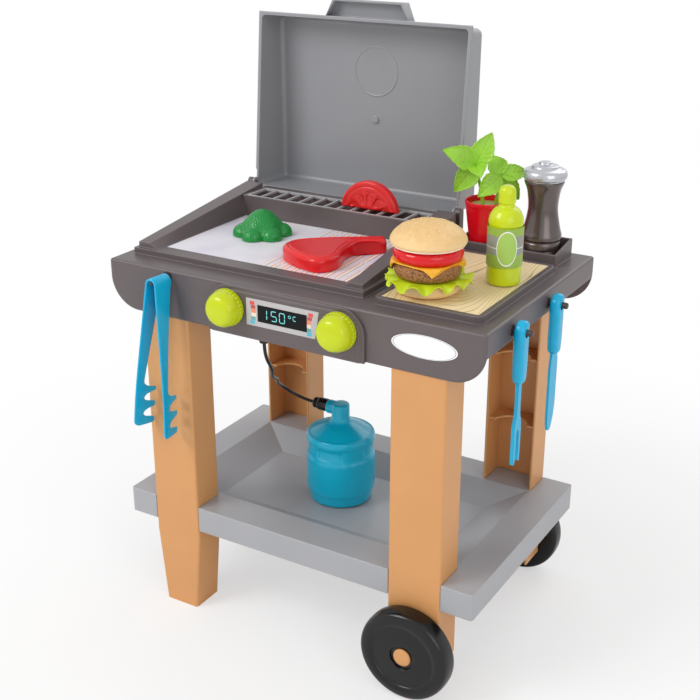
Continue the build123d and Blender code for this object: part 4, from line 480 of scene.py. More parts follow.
def board_card():
    """Varnished paper, printed as pale beech: thin growth lines run along it and bend round loops."""
    material, tree, shader, place = new_material("Varnished card, beech print", linear("#f5dda9"), 0.4)
    (x,) = flat_position(tree, place, "X")
    line_pitch = 4.6
    long = node(tree, "Mapping", {"Vector": place, "Scale": (1.0, 0.30, 1.0)})
    drift = node(tree, "TexNoise", {"Vector": long, "Scale": 1 / (46 * MM), "Detail": 0.4})
    bent = node(tree, "Math", {0: drift, 1: 15.0}, operation="MULTIPLY")
    line = node(tree, "Math", {0: x, 1: 1 / line_pitch, 2: bent}, operation="MULTIPLY_ADD")
    contour = band(tree, node(tree, "Math", {0: line}, operation="FRACT"), 0.04, 0.14, 0.04)
    faint = node(tree, "Math", {0: contour, 1: 0.62}, operation="MULTIPLY")
    fibre = node(tree, "Mapping", {"Vector": place, "Scale": (1.0, 0.06, 1.0)})
    fine = node(tree, "TexNoise", {"Vector": fibre, "Scale": 1 / (1.6 * MM), "Detail": 3.0})
    base = node(tree, "Mix", {0: fine, 6: rgba("#f3d596"), 7: rgba("#fdeecb")}, 2, data_type="RGBA")
    tree.links.new(inked(tree, base, (faint, rgba("#6f5233"))), shader.inputs["Base Color"])
    surface_bump(tree, shader, fine, 0.02)
    return material


def dress(material, *names):
    """Gives CAD nodes a material."""
    for name in names:
        NODES[name].data.materials.clear()
        NODES[name].data.materials.append(material)


class TROLLEY_OT_mouldings(bpy.types.Operator):
    """Finish the large mouldings: worktop, panel, lid, shelf, legs and pegs"""

    bl_idname = "trolley.mouldings"
    bl_label = "Mouldings"

    def execute(self, context):
        colours, edge = context.scene.trolley_colours, context.scene.trolley_details.edge
        # An edge rounding and the share after it give a painted highlight along the moulding's edges
        worktop = moulded("Polypropylene, dark, eroded", colours.worktop, 0.36, 0.8, 0.03, edge, 0.40, 0.10)
        dress(worktop, "worktop", "control_panel")
        dress(moulded("Polypropylene, dark pegs", linear("#3a3334"), 0.36, 0.8, 0.02), "utensil_pegs")
        dress(moulded("Polypropylene, silver flake", colours.lid, 0.30, 0.6, 0.02, edge, 0.35, 0.25), "lid")
        dress(moulded("Polypropylene, light", colours.shelf, 0.34, 0.8, 0.02, edge, 0.30, 0.10), "shelf")
        legs = moulded("Polypropylene, tan", colours.legs, 0.38, 0.8, 0.02, edge, 0.16)
        dress(legs, "front_left_leg", "rear_left_leg", "front_right_leg", "rear_right_leg")
        dress(moulded("Polystyrene, grate", colours.grate, 0.32, 0.6, 0.02, edge / 4, 0.4), "grill_grate")
        return {"FINISHED"}


class TROLLEY_OT_cards(bpy.types.Operator):
    """Print the cards of the grill, the embers and the cutting board"""

    bl_idname = "trolley.cards"
    bl_label = "Printed cards"

    def execute(self, context):
        dress(grill_card(), "grill_print")
        dress(ember_card(), "ember_print")
        dress(board_card(), "board_print")
        return {"FINISHED"}


def knob_surface(sizes, back, reach, radius):
    """A knob: its radius falls from the ribbed skirt to a dome, and the ribs fade out over the skirt."""
    shares = [
        (0.78, 0, 0), (1.0, 0, 1.2), (1.0, 0.24, 1.2), (0.955, 0.28, 0.8), (0.93, 0.59, 5.5),
        (0.70, 0.955, 8.5), (0, 1, 0),
    ]
    segments, ribs_end, fade_in, fade_out = 240, 7.2, 0.8, 1.2
    outline = rounded(np.array(shares) * (radius, reach, 1), 12)
    points = turned(outline, segments)
    angle = np.linspace(0, ROUND, segments, endpoint=False)
    height = outline[:, 1:2]
    shown = np.clip((ribs_end - height) / fade_out, 0, 1) * np.clip(height / fade_in, 0, 1)
    groove = np.abs(np.cos(sizes.knob_ribs * angle / 2)) ** 3
    points[..., :2] *= (1 - sizes.knob_rib / MM / radius * shown * groove)[..., None]
    return grid(placed(points, back, (0, -1, 0)), wrap_columns=True)


class TROLLEY_OT_knobs(bpy.types.Operator):
    """Make the two ribbed knobs"""

    bl_idname = "trolley.knobs"
    bl_label = "Knobs"

    def execute(self, context):
        sizes = context.scene.trolley_details
        lime = glossy("ABS, lime, polished", context.scene.trolley_colours.knobs, 0.22, 9.0, 0.04, 0.05)
        face = corners("control_panel")[0][1] - 0.3
        for name in ("knob_left", "knob_right"):
            (low, high), middle, radius = corners(name), centre(name), extent(name)[0]
            back, depth = (middle[0], face, middle[2]), high[1] - face
            surface = knob_surface(sizes, back, face - low[1], radius)
            rear = lathe([(0, 0, 0), (radius * 0.78, 0, 0)], back, (0, 1, 0))
            shaft = lathe([(0, 0, 0), (5.2, 0, 0), (5.2, depth, 1), (0, depth, 0)], back, (0, 1, 0))
            add_piece(f"{name}_dome", joined(surface, rear, shaft), name, lime, (name,))
        return {"FINISHED"}


# The strokes that light up in each mark of the display, and where each stroke runs, as shares
SEGMENTS = {"1": "bc", "5": "afgcd", "0": "abcdef", "C": "adef"}
STROKES = {
    "a": ((0, 1), (1, 1)),
    "b": ((1, 1), (1, 0.5)),
    "c": ((1, 0.5), (1, 0)),
    "d": ((0, 0), (1, 0)),
    "e": ((0, 0), (0, 0.5)),
    "f": ((0, 0.5), (0, 1)),
    "g": ((0, 0.5), (1, 0.5)),
}

# How far each end of a stroke stays back from the corner that it shares, in millimetres
JOINT_GAP = 0.25


def digit_strokes(mark, origin, width, height, stroke):
    """Bars of a seven-part digit: each is a flat bar with pointed ends between two corner points."""
    bars = []
    for part in SEGMENTS[mark]:
        start, end = np.array(STROKES[part], float) * (width, height) + origin
        along = (end - start) / np.linalg.norm(end - start)
        across = np.array([-along[1], along[0]]) * stroke / 2
        start, end, tip = start + along * JOINT_GAP, end - along * JOINT_GAP, along * stroke / 2
        upper, lower = [start + tip + across, end - tip + across], [end - tip - across, start + tip - across]
        points = np.array([start, *upper, end, *lower])
        bars.append((np.column_stack([points[:, 0], np.zeros(6), points[:, 1]]), [[0, 1, 2, 3, 4, 5]]))
    return bars


class TROLLEY_OT_display(bpy.types.Operator):
    """Dress the display: plate, coloured scales, dark screen with digits and the blank badge"""

    bl_idname = "trolley.display"
    bl_label = "Display"

    def execute(self, context):
        dress(moulded("Foil, silver print", linear("#bdbabb"), 0.32, 0.5, 0.01), "display_plate")
        tones = rgba("#010202"), rgba("#060809")
        black = linear("#020304")
        screen = mottled("Film, black print", black, 0.35, 20.0, tones, Specular_IOR_Level=0.2)
        dress(screen, "display_screen")
        dress(self.badge(), "front_badge")
        self.digits(context.scene.trolley_details.digit / MM)
        self.scales()
        return {"FINISHED"}

    def badge(self):
        """White film with a thin grey line just inside its oval edge."""
        material, tree, shader, place = new_material("Film, white print", linear("#fafafa"), 0.2)
        low, high = corners("front_badge")
        middle, half = centre("front_badge"), (high - low) / 2
        ring = oval(tree, *zip(flat_position(tree, place, "XZ"), middle[::2], half[::2]))
        base = inked(tree, rgba("#fafafa"), (band(tree, ring, 0.86, 0.93, 0.02), rgba("#b9bcc2")))
        tree.links.new(base, shader.inputs["Base Color"])
        return material

    def digits(self, stroke):
        """A plain reading on the screen, as strokes and a small ring, printed pale blue with a painted glow.
        """
        bars = []
        for mark, x, z, width, height, share in (
            ("1", -21.5, -5.5, 2.0, 11.0, 1),
            ("5", -13.5, -5.5, 6.5, 11.0, 1),
            ("0", -3.0, -5.5, 6.5, 11.0, 1),
            ("C", 14.5, 0.0, 3.6, 4.8, 0.85),
        ):
            bars += digit_strokes(mark, (x, z), width, height, stroke * share)
        angle = np.linspace(0, ROUND, 33)[:, None]
        ring = np.array([1.2, 1.8])[None, :]
        degree = [10.0 + ring * np.cos(angle), 0 * ring * angle, 3.2 + ring * np.sin(angle)]
        points, faces = joined(*bars, grid(np.stack(degree, -1)))
        tones, blue = (rgba("#5cc3c8"), rgba("#8be6ea")), rgba("#6fd0d4")
        # Painted glow: the print gives off a faint pale blue light of its own, though nothing lights it
        light = {"Emission_Color": blue, "Emission_Strength": 0.3}
        material = mottled("Print, pale blue, painted glow", blue, 0.3, 2.0, tones, **light)
        middle, print_thickness = centre("display_screen"), 0.04
        face = corners("display_screen")[0][1] - print_thickness
        points = points + (middle[0], face, middle[2])
        add_piece("display_digits", (points, faces), "trolley", material)

    def scales(self):
        """Two columns of blocks, one at each end of the plate, from red above to blue below."""
        low, high = corners("display_plate")
        codes = ["#e0322e", "#c22d28", "#f0805a", "#f3d9c4", "#4fa3a6", "#35b6cc"]
        half, tall, pitch, bow, drift, y = 3.0, 4.0, 4.4, 1.8, 0.4, low[1] - 0.03
        blocks, tints = [], []
        for side, centre in ((-1, low[0] + 8.0), (1, high[0] - 10.0)):
            for index, code in enumerate(codes):
                top = high[2] - 3.0 - index * pitch
                x = centre + side * (-bow * math.sin(index / 5 * math.pi)) - (side > 0) * index * drift
                left, right, base = x - half, x + half, top - tall
                blocks.append([(left, y, top), (right, y, top), (right, y, base), (left, y, base)])
                tints.append(linear(code))
        points = np.array(blocks, float).reshape(-1, 3)
        faces = np.arange(len(points)).reshape(-1, 4).tolist()
        inks, tree, shader, place = new_material("Print, scale colours", linear("#d98a62"), 0.35)
        piece = add_piece("display_scales", (points, faces), "trolley", inks)
        middles = np.array([np.mean(block, axis=0) for block in blocks])
        found = np.array([polygon.center[:] for polygon in piece.data.polygons]) / MM
        nearest = np.linalg.norm(found[:, None] - middles[None], axis=-1).argmin(1)
        values = np.column_stack([np.array(tints)[nearest], np.ones(len(found))]).repeat(4, 0)
        attribute = piece.data.color_attributes.new("ink", "FLOAT_COLOR", "CORNER")
        attribute.data.foreach_set("color", values.astype(np.float32).ravel())
        ink = node(tree, "Attribute", None, "Color", attribute_name="ink")
        grain = node(tree, "TexNoise", {"Vector": place, "Scale": 1 / (1.2 * MM)})
        worn = node(tree, "Math", {0: grain, 1: 0.1}, operation="MULTIPLY")
        tree.links.new(inked(tree, ink, (worn, (1, 1, 1, 1))), shader.inputs["Base Color"])


class TROLLEY_OT_wheels(bpy.types.Operator):
    """Make the two wheels and their pins"""

    bl_idname = "trolley.wheels"
    bl_label = "Wheels"

    # Radius and width as shares of the wheel's own, then the rounding in millimetres
    OUTLINE = (
        (0.075, 0, 0), (0.86, 0, 5), (0.985, 0.07, 5), (1.0, 0.28, 5), (1.0, 0.66, 5), (0.965, 0.92, 7),
        (0.82, 1.0, 7), (0.705, 0.965, 2.5), (0.685, 0.905, 1.2), (0.66, 0.905, 1.2), (0.42, 0.95, 8),
        (0.285, 0.965, 2.5), (0.266, 0.94, 0.8), (0.262, 0.846, 0.5), (0.075, 0.846, 0), (0.075, 0, 0),
    )

    def execute(self, context):
        colours = context.scene.trolley_colours
        black = glossy("Polyethylene, black, blow-moulded", colours.wheels, 0.24, 16.0, 0.06)
        tan = moulded("Polypropylene, tan pin", colours.legs, 0.34)
        for name, outward in (("front_wheel", -1), ("rear_wheel", 1)):
            low, high = corners(name)
            size = (extent(name)[0], high[1] - low[1])
            x, z = centre(name)[::2]
            inner = high[1] if outward < 0 else low[1]
            tyre = lathe(self.OUTLINE, (x, inner, z), (0, outward, 0), 144, size)
            add_piece(f"{name}_tyre", tyre, name, black, (name,))
            low, high = corners(f"{name}_pin")
            root, reach = (high[1] if outward < 0 else low[1]), high[1] - low[1]
            head = extent(f"{name}_pin")[0]
            pin = [
                (0, 0, 0), (4, 0, 0.4), (4, reach - 4, 0), (head, reach - 4, 0.4),
                (head, reach - 2.2, 1.2), (head * 0.75, reach - 0.3, 3.5), (0, reach, 0),
            ]
            surface = lathe(pin, (x, root, z), (0, outward, 0), 64)
            add_piece(f"{name}_pin_head", surface, "trolley", tan, (f"{name}_pin",))
        return {"FINISHED"}


class TROLLEY_OT_gas(bpy.types.Operator):
    """Make the gas bottle, its valve, the socket, the hose and its connector"""

    bl_idname = "trolley.gas"
    bl_label = "Gas bottle and hose"

    # Radius and height as shares of the bottle's own, then the rounding in millimetres
    OUTLINE = (
        (0, 0.033, 0), (0.70, 0.033, 3), (0.80, 0, 1.5), (0.90, 0.012, 3), (0.94, 0.115, 3),
        (0.95, 0.14, 0.8), (0.985, 0.15, 1.2), (1.0, 0.20, 5), (1.0, 0.565, 3), (0.955, 0.60, 2.5),
        (0.945, 0.745, 3), (1.0, 0.775, 2), (1.0, 0.825, 2.5), (0.955, 0.86, 2.5), (0.90, 0.85, 2),
        (0.55, 0.935, 12),
        (0.34, 0.975, 4), (0.29, 1.0, 1.5), (0, 1.0, 0),
    )

    def execute(self, context):
        colours = context.scene.trolley_colours
        blue = glossy("Polyethylene, blue, blow-moulded", colours.gas, 0.24, 12.0, 0.08, 0.03)
        add_piece("gas_bottle_body", self.bottle(), "trolley", blue, ("gas_bottle",))
        add_piece("gas_valve_elbow", self.valve(), "trolley", blue, ("gas_valve",))
        black = glossy("Polypropylene, black fitting", linear("#080607"), 0.24, 8.0, 0.03)
        low, high = corners("hose_connector")
        middle, reach = centre("hose_connector"), high[0] - low[0]
        outline = [
            (0, 0, 0), (7.6, 0, 0.8), (8.0, 0.10, 0.8), (8.0, 0.52, 1.0), (7.4, 0.57, 0.6), (7.0, 0.60, 0.6),
            (6.9, 0.86, 2.0), (4.6, 0.97, 2.0), (2.6, 1.0, 0.5), (0, 1, 0),
        ]
        surface = lathe(outline, (high[0], middle[1], middle[2]), (-1, 0, 0), 64, (1, reach))
        plug = add_piece("hose_plug", surface, "trolley", black, ("hose_connector",))
        low, high = corners("hose_socket")
        origin, reach = (*centre("hose_socket")[:2], high[2]), high[2] - low[2]
        socket = [
            (0, 0, 0), (10.5, 0, 0.5), (10.5, 3.5, 0.4), (7, 3.5, 0.3), (7, 6.4, 0), (10.2, 6.6, 0.6),
            (9.6, 11.0, 1.4), (6.2, 13.2, 1.6), (5.2, reach, 0.8), (0, reach, 0),
        ]
        dark = moulded("Polypropylene, dark fitting", linear("#161112"), 0.4)
        surface = lathe(socket, origin, (0, 0, -1), 64)
        add_piece("hose_gland", surface, "trolley", dark, ("hose_socket",))
        self.hose(colours.hose, plug)
        return {"FINISHED"}

    def bottle(self):
        """A turned outline; four long ovals with soft sides are pressed in round its upper band."""
        radius, height = extent("gas_bottle")
        segments, facing, quarter = 256, 1.414, math.pi / 2
        oval_level, half_tall, half_wide, steepness, depth = 0.672, 0.058, 0.45, 7, 0.035
        outline = rounded(np.array(self.OUTLINE) * (radius, height, 1), 12)
        level = outline[:, 1:2] / height
        points = turned(outline, segments)
        angle = np.linspace(0, ROUND, segments, endpoint=False)[None, :]
        bearing = (angle + facing + quarter / 2) % quarter - quarter / 2
        shape = ((level - oval_level) / half_tall) ** 4 + (bearing / half_wide) ** 4
        press = 1 / (1 + np.exp(np.clip((shape - 1) * steepness, -50, 50)))
        points[..., :2] *= (1 - depth * press * (level > 0.5) * (level < 0.8))[..., None]
        return grid(points + foot("gas_bottle"), wrap_columns=True)

    def valve(self):
        """A post with a flat rounded top and an arm to the side, both turned about their own axes."""
        low, high = corners("gas_valve")
        x, y = foot("gas_bottle")[:2]
        top, radius, sunk = corners("gas_bottle")[1][2], 8.6, 2.0
        rise, reach = high[2] - top + sunk, x - low[0]
        post = [
            (0, 0, 0), (13.2, 0, 0.5), (12.6, 2.6, 2.5), (11.2, 5.5, 2.5), (11.0, rise - 0.8, 2.8),
            (0, rise, 0),
        ]
        arm = [(0, 0, 0), (radius, 0, 0.5), (radius, reach - 2, 0.5), (7.9, reach, 0.5), (0, reach, 0)]
        upright = lathe(post, (x, y, top - sunk), segments=64)
        return joined(upright, lathe(arm, (x, y, high[2] - radius), (-1, 0, 0), 64))

    def hose(self, base, plug):
        """A smooth line through the hose's route, with a round section."""
        rubber = moulded("PVC, black hose", base, 0.34, 2.0, 0.02)
        line = bpy.data.curves.new("gas_hose", "CURVE")
        line.dimensions = "3D"
        spline = line.splines.new("NURBS")
        spline.points.add(len(HOSE_ROUTE) - 1)
        for point, place in zip(spline.points, HOSE_ROUTE):
            point.co = (*(place * MM), 1)
        spline.order_u = 3
        spline.use_endpoint_u = True
        spline.resolution_u = 16
        line.bevel_depth = HOSE_DIAMETER / 2 * MM
        line.bevel_resolution = 8
        line.use_fill_caps = True
        line.materials.append(rubber)
        hose = bpy.data.objects.new("gas_hose", line)
        bpy.context.scene.collection.objects.link(hose)
        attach(hose, "trolley")
        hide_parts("hose")


def arm_surface(side, centre, turn, swing, splay, twist):
    """One arm of the tongs: a flat band follows a quarter ring and then a splayed straight line. Its
    front edge is straight; its rear edge narrows to the neck and reaches far out at each claw, with
    round scoops between the claws, whose edge lies at root + h - sqrt(h^2 - s^2)."""
    ring, thick, half, reach, neck_w, neck_end, claw = 6.75, 2.5, 13.0, 190.0, 11.0, 62.0, 28.0
    tip_front, tip_rear, claws_end, fade_length = 7.0, 2.8, 49.1, 11.0
    strip, gap, scoops, teeth = 12.5, 7.3, (15.0, 36.6), ((0.0, 7.7), (25.8, 3.5), (46.5, 2.6))
    bow, bow_start, bow_length, steps = 3.5, 110, 80, 28
    arc = np.linspace(math.pi / 2, splay, steps)
    down = np.linspace(0, reach, 620)[1:]
    u = np.concatenate([ring * np.cos(arc), ring * math.cos(splay) + down * math.sin(splay)])
    w = np.concatenate([ring * np.sin(arc), ring * math.sin(splay) - down * math.cos(splay)])
    out_u = np.concatenate([np.cos(arc), np.full(len(down), math.cos(splay))])
    out_w = np.concatenate([np.sin(arc), np.full(len(down), math.sin(splay))])
    run = np.concatenate([np.zeros(steps), down])
    above_tip = reach - run
    share = np.clip(run / (reach - neck_end), 0, 1)
    u = u - bow * np.clip((run - bow_start) / bow_length, 0, 1) ** 2 * math.cos(splay)
    angle = twist * share
    rear = 2 * half + (neck_w - 2 * half) * share**0.85
    for middle in scoops:
        offset = np.clip(np.abs(above_tip - middle), 0, gap)
        scoop = strip + (claw - strip) * (1 - np.sqrt(np.clip(1 - (offset / gap) ** 2, 0, 1)))
        rear = np.where(np.abs(above_tip - middle) <= gap, scoop, rear)
    for middle, half_width in teeth:
        rear = np.where(np.abs(above_tip - middle) < half_width, claw, rear)
    over = np.clip((above_tip - claws_end) / fade_length, 0, 1)
    fade = claw - (claw - neck_w) * np.sqrt(np.clip(1 - (1 - over) ** 2, 0, 1))
    rear = np.where((above_tip >= claws_end) & (above_tip < claws_end + fade_length), fade, rear)
    rear = np.convolve(np.pad(rear, 3, "edge"), np.ones(7) / 7, "valid")
    front = tip_front - round_edge(above_tip, tip_front, tip_front)
    rear = rear - tip_rear + round_edge(above_tip, tip_rear, tip_rear)
    loop = np.linspace(0, ROUND, steps, endpoint=False)[None, :]
    width = np.maximum(rear - front, 2.6)[:, None]
    middle = (front + rear)[:, None] / 2
    v = middle + np.cos(loop) * thick / 2 + np.sign(np.cos(loop)) * (width - thick) / 2
    h = np.sin(loop) * thick / 2
    turn_v, turn_n = np.cos(angle)[:, None], np.sin(angle)[:, None]
    outward = h * turn_v - v * turn_n
    along = -half + v * turn_v + h * turn_n
    uu = (u[:, None] + outward * out_u[:, None]) * side
    ww = w[:, None] + outward * out_w[:, None]
    across = uu * math.cos(swing) + ww * math.sin(swing)
    upright = -uu * math.sin(swing) + ww * math.cos(swing)
    x = across * math.cos(turn) + along * math.sin(turn)
    y = -across * math.sin(turn) + along * math.cos(turn)
    return grid(shut(np.stack([x, y, upright], -1) + centre), wrap_columns=True)


class TROLLEY_OT_tongs(bpy.types.Operator):
    """Make the two arms of the tongs, each with its half of the fold"""

    bl_idname = "trolley.tongs"
    bl_label = "Tongs"

    def execute(self, context):
        cyan = glossy("Polypropylene, blue tongs", context.scene.trolley_colours.tools, 0.26, 9.0, 0.03, 0.04)
        centre = np.array([-154.8, -164.7, 435.4]) + SHIFT
        # Turn about the vertical, swing on the peg, splay of an arm and twist of its band
        angles = [math.radians(degrees) for degrees in (5.0, 5.4, 6.5, 12.8)]
        for name, side in (("tongs_left", -1), ("tongs_right", 1)):
            surface, hidden = arm_surface(side, centre, *angles), (f"{name}_arm", f"{name}_fold")
            add_piece(f"{name}_band", surface, name, cyan, hidden, 40.0)
        return {"FINISHED"}


def holed_bar(outline, hole, radius, thickness, rounding):
    """A thick plate with one round hole: rings of points run from the hole over the rounded edge and
    back to the hole on the other side."""
    count, steps = 160, 11
    edge = resampled(outline, count)
    tangent = np.roll(edge, -1, 0) - np.roll(edge, 1, 0)
    normal = np.stack([tangent[:, 1], -tangent[:, 0]], -1)
    normal /= np.linalg.norm(normal, axis=1, keepdims=True)
    direction = edge - np.array(hole)
    circle = np.array(hole) + direction / np.linalg.norm(direction, axis=1, keepdims=True) * radius
    rings = [np.column_stack([circle, np.full(count, thickness / 2)])]
    for angle in np.linspace(math.pi / 2, -math.pi / 2, steps):
        side = (thickness / 2 - rounding) * np.sign(round(math.sin(angle), 6))
        ring = edge + normal * rounding * (math.cos(angle) - 1)
        rings.append(np.column_stack([ring, np.full(count, side + rounding * math.sin(angle))]))
    rings.append(np.column_stack([circle, np.full(count, -thickness / 2)]))
    return np.stack(rings)


class TROLLEY_OT_tools(bpy.types.Operator):
    """Make the fork and the knife"""

    bl_idname = "trolley.tools"
    bl_label = "Fork and knife"

    def execute(self, context):
        blue = context.scene.trolley_colours.tools
        cyan = glossy("Polypropylene, blue cutlery", blue, 0.26, 9.0, 0.03, 0.04)
        hole_drop, hole_radius, rounding = 13, 4.1, 4.2
        for name, shape, thick in (("fork", self.fork, 4.0), ("knife", self.knife, 3.0)):
            low, high = corners(name)
            origin, top, tip = (*centre(name)[:2], 0), high[2], low[2]
            handle = rounded([
                (-6.4, top - 68, 5), (6.4, top - 68, 5), (9.0, top - 54, 9), (9.0, top - 1.0, 5),
                (-1, top + 0.4, 4), (-9.0, top - 6.5, 5), (-9.0, top - 54, 9),
            ], 8, True)
            hole = (0, top - hole_drop)
            points = holed_bar(handle, hole, hole_radius, high[0] - low[0], rounding)
            bar = grid(placed(points, origin, (1, 0, 0), (0, 1, 0)), wrap_rows=True, wrap_columns=True)
            flat, faces = plate(shape(top, tip), thick)
            add_piece(f"{name}_handle", bar, name, cyan, (name,))
            flat = placed(flat, origin, (1, 0, 0), (0, 1, 0))
            add_piece(f"{name}_end", (flat, faces), name, cyan, sharp=50.0, bevel=1.0)
        return {"FINISHED"}

    def fork(self, top, tip):
        """Outline of the shaft, the shoulders and two tines with a long gap."""
        right = [
            (3.8, top - 66, 0.5), (3.6, tip + 58, 8), (8.2, tip + 46, 5), (8.4, tip + 12, 5),
            (7.4, tip, 2.2), (3.8, tip + 3, 1.5), (3.0, tip + 36, 2.2),
        ]
        left = [(-x, z, turn) for x, z, turn in reversed(right)]
        return rounded([*right, (0, tip + 41, 3), *left], 6, True)

    def knife(self, top, tip):
        """Outline of the blade: nearly parallel edges and a slanting, rounded tip."""
        return rounded([
            (-6.5, top - 66, 0.5), (6.5, top - 66, 0.5), (9.8, top - 76, 6), (9.8, tip + 22, 16),
            (2.0, tip + 2, 6), (-5.5, tip, 4), (-9.6, tip + 12, 6), (-9.8, top - 80, 6),
        ], 7, True)


class TROLLEY_OT_sauce(bpy.types.Operator):
    """Make the sauce bottle and its label"""

    bl_idname = "trolley.sauce"
    bl_label = "Sauce bottle"

    # Radius and height as shares of the bottle's own, then the rounding in millimetres
    OUTLINE = (
        (0, 0.014, 0), (0.80, 0.014, 1), (0.90, 0, 1.2), (0.985, 0.023, 2.4), (0.985, 0.19, 0.3),
        (0.97, 0.195, 0.3), (0.97, 0.610, 0.3), (0.99, 0.615, 0.5), (1.0, 0.64, 3), (0.95, 0.70, 6),
        (0.72, 0.765, 5), (0.47, 0.79, 2.5), (0.44, 0.805, 1), (0.43, 0.825, 0.5), (0.50, 0.83, 0.5),
        (0.49, 0.93, 1), (0.44, 0.975, 2.5), (0.28, 1.0, 2), (0, 1.0, 0),
    )

    def execute(self, context):
        colours = context.scene.trolley_colours
        lime = glossy("Polyethylene, lime bottle", colours.sauce, 0.18, 16.0, 0.10, 0.06)
        body = lathe(self.OUTLINE, foot("sauce_bottle"), scale=extent("sauce_bottle"))
        add_piece("sauce_bottle_body", body, "sauce_bottle", lime, ("sauce_bottle",))
        self.label()
        return {"FINISHED"}

    def label(self):
        """A band round the bottle, printed with grey and green fields and a plain oval to the front."""
        middle = foot("sauce_label")
        radius, height = extent("sauce_label")
        angle = np.linspace(0, ROUND, 121)[None, :]
        level = np.linspace(0, 1, 5)[:, None]
        x_y = [radius * np.cos(angle) + 0 * level, radius * np.sin(angle) + 0 * level]
        shell = grid(np.stack([*x_y, height * level + 0 * angle], -1) + middle)
        paper, tree, shader, place = new_material("Coated paper, label print", linear("#8fae5a"), 0.4)
        x, y, z = flat_position(tree, place, "XYZ")
        away = node(tree, "Math", {0: y, 1: middle[1]}, operation="SUBTRACT")
        aside = node(tree, "Math", {0: x, 1: middle[0]}, operation="SUBTRACT")
        bearing = node(tree, "Math", {0: away, 1: aside}, operation="ARCTAN2")
        front = math.atan2(-0.86, 0.50)
        around = {0: bearing, 1: radius, 2: -front * radius}
        across = node(tree, "Math", around, operation="MULTIPLY_ADD")
        upright = node(tree, "Math", {0: z, 1: middle[2] + height / 2}, operation="SUBTRACT")
        noise = node(tree, "TexNoise", {"Vector": place, "Scale": 1 / (9 * MM), "Detail": 3.0})
        green = node(tree, "Mix", {0: noise, 6: rgba("#8cae3f"), 7: rgba("#a3c255")}, 2, data_type="RGBA")
        grey = node(tree, "Mix", {0: noise, 6: rgba("#8b9186"), 7: rgba("#a0a69a")}, 2, data_type="RGBA")
        ring = oval(tree, (across, 0.0, 11.5), (upright, 0.0, 19.0))
        tint = inked(
            tree,
            green,
            (band(tree, upright, -8.0, 13.0), grey),
            (band(tree, upright, -0.6, 0.2, 0.15), rgba("#e9eee2")),
            (band(tree, ring, -1.0, 0.86, 0.02), rgba("#a9cf5f")),
            (band(tree, ring, 0.86, 1.0, 0.02), rgba("#f1f5ea")),
        )
        tree.links.new(tint, shader.inputs["Base Color"])
        surface_bump(tree, shader, noise, 0.02)
        add_piece("sauce_bottle_label", shell, "sauce_bottle", paper, ("sauce_label",))


class TROLLEY_OT_mill(bpy.types.Operator):
    """Make the pepper mill and its turning cap"""

    bl_idname = "trolley.mill"
    bl_label = "Pepper mill"

    # The mill's radius in millimetres; then radii as shares of it, heights and roundings in millimetres
    RADIUS = 24.0
    BODY = (
        (0, 0, 0), (0.88, 0, 0.8), (0.92, 3, 1.2), (0.92, 8.5, 1.2), (0.885, 10, 0.7), (0.92, 11.6, 1),
        (0.92, 17.5, 1.4), (0.87, 19.5, 0.8), (0.90, 21, 0.8), (0.965, 22.5, 1.2), (0.965, 26.5, 2),
        (0.88, 33, 6), (0.735, 50, 14), (0.70, 60, 10), (0.78, 78, 12), (0.95, 87, 3), (0.95, 89, 0.8),
        (0, 89, 0),
    )
    CAP = (
        (0, 0.3, 0), (0.93, 0.3, 0.5), (0.96, 2.2, 1.2), (1.04, 3.2, 1.4), (1.06, 7.5, 3.2),
        (0.98, 12.6, 2.6), (0.72, 14, 1.8), (0.66, 15.4, 0.8), (0.62, 17.4, 1.6), (0.34, 18.4, 1.2),
        (0.32, 19.2, 0.5), (0.30, 21.2, 1.5), (0, 22.0, 0),
    )

    def execute(self, context):
        colours = context.scene.trolley_colours
        body = self.lacquer("Polystyrene, dark metallic lacquer", colours.mill, 0.26)
        cap = self.lacquer("Polystyrene, silver lacquer", colours.mill_cap, 0.24)
        base, top = foot("pepper_mill_body"), corners("pepper_mill_body")[1][2]
        turning = lathe(self.BODY, base, segments=128, scale=(self.RADIUS, 1))
        add_piece("pepper_mill_turning", turning, "pepper_mill", body, ("pepper_mill_body",))
        dome = lathe(self.CAP, (base[0], base[1], top), segments=128, scale=(self.RADIUS, 1))
        add_piece("pepper_mill_dome", dome, "pepper_cap", cap, ("pepper_mill_cap",))
        return {"FINISHED"}

    def lacquer(self, name, base, roughness):
        """Metallic lacquer over plastic: fine flakes make it sparkle a little under a clear coat."""
        tones = shade(base, 0.86), shade(base, 1.16)
        coat = {"Coat_Weight": 0.6, "Coat_Roughness": 0.12}
        return mottled(name, base, roughness, 0.6, tones, 2.0, 0.01, 1.5, 0.6, **coat)


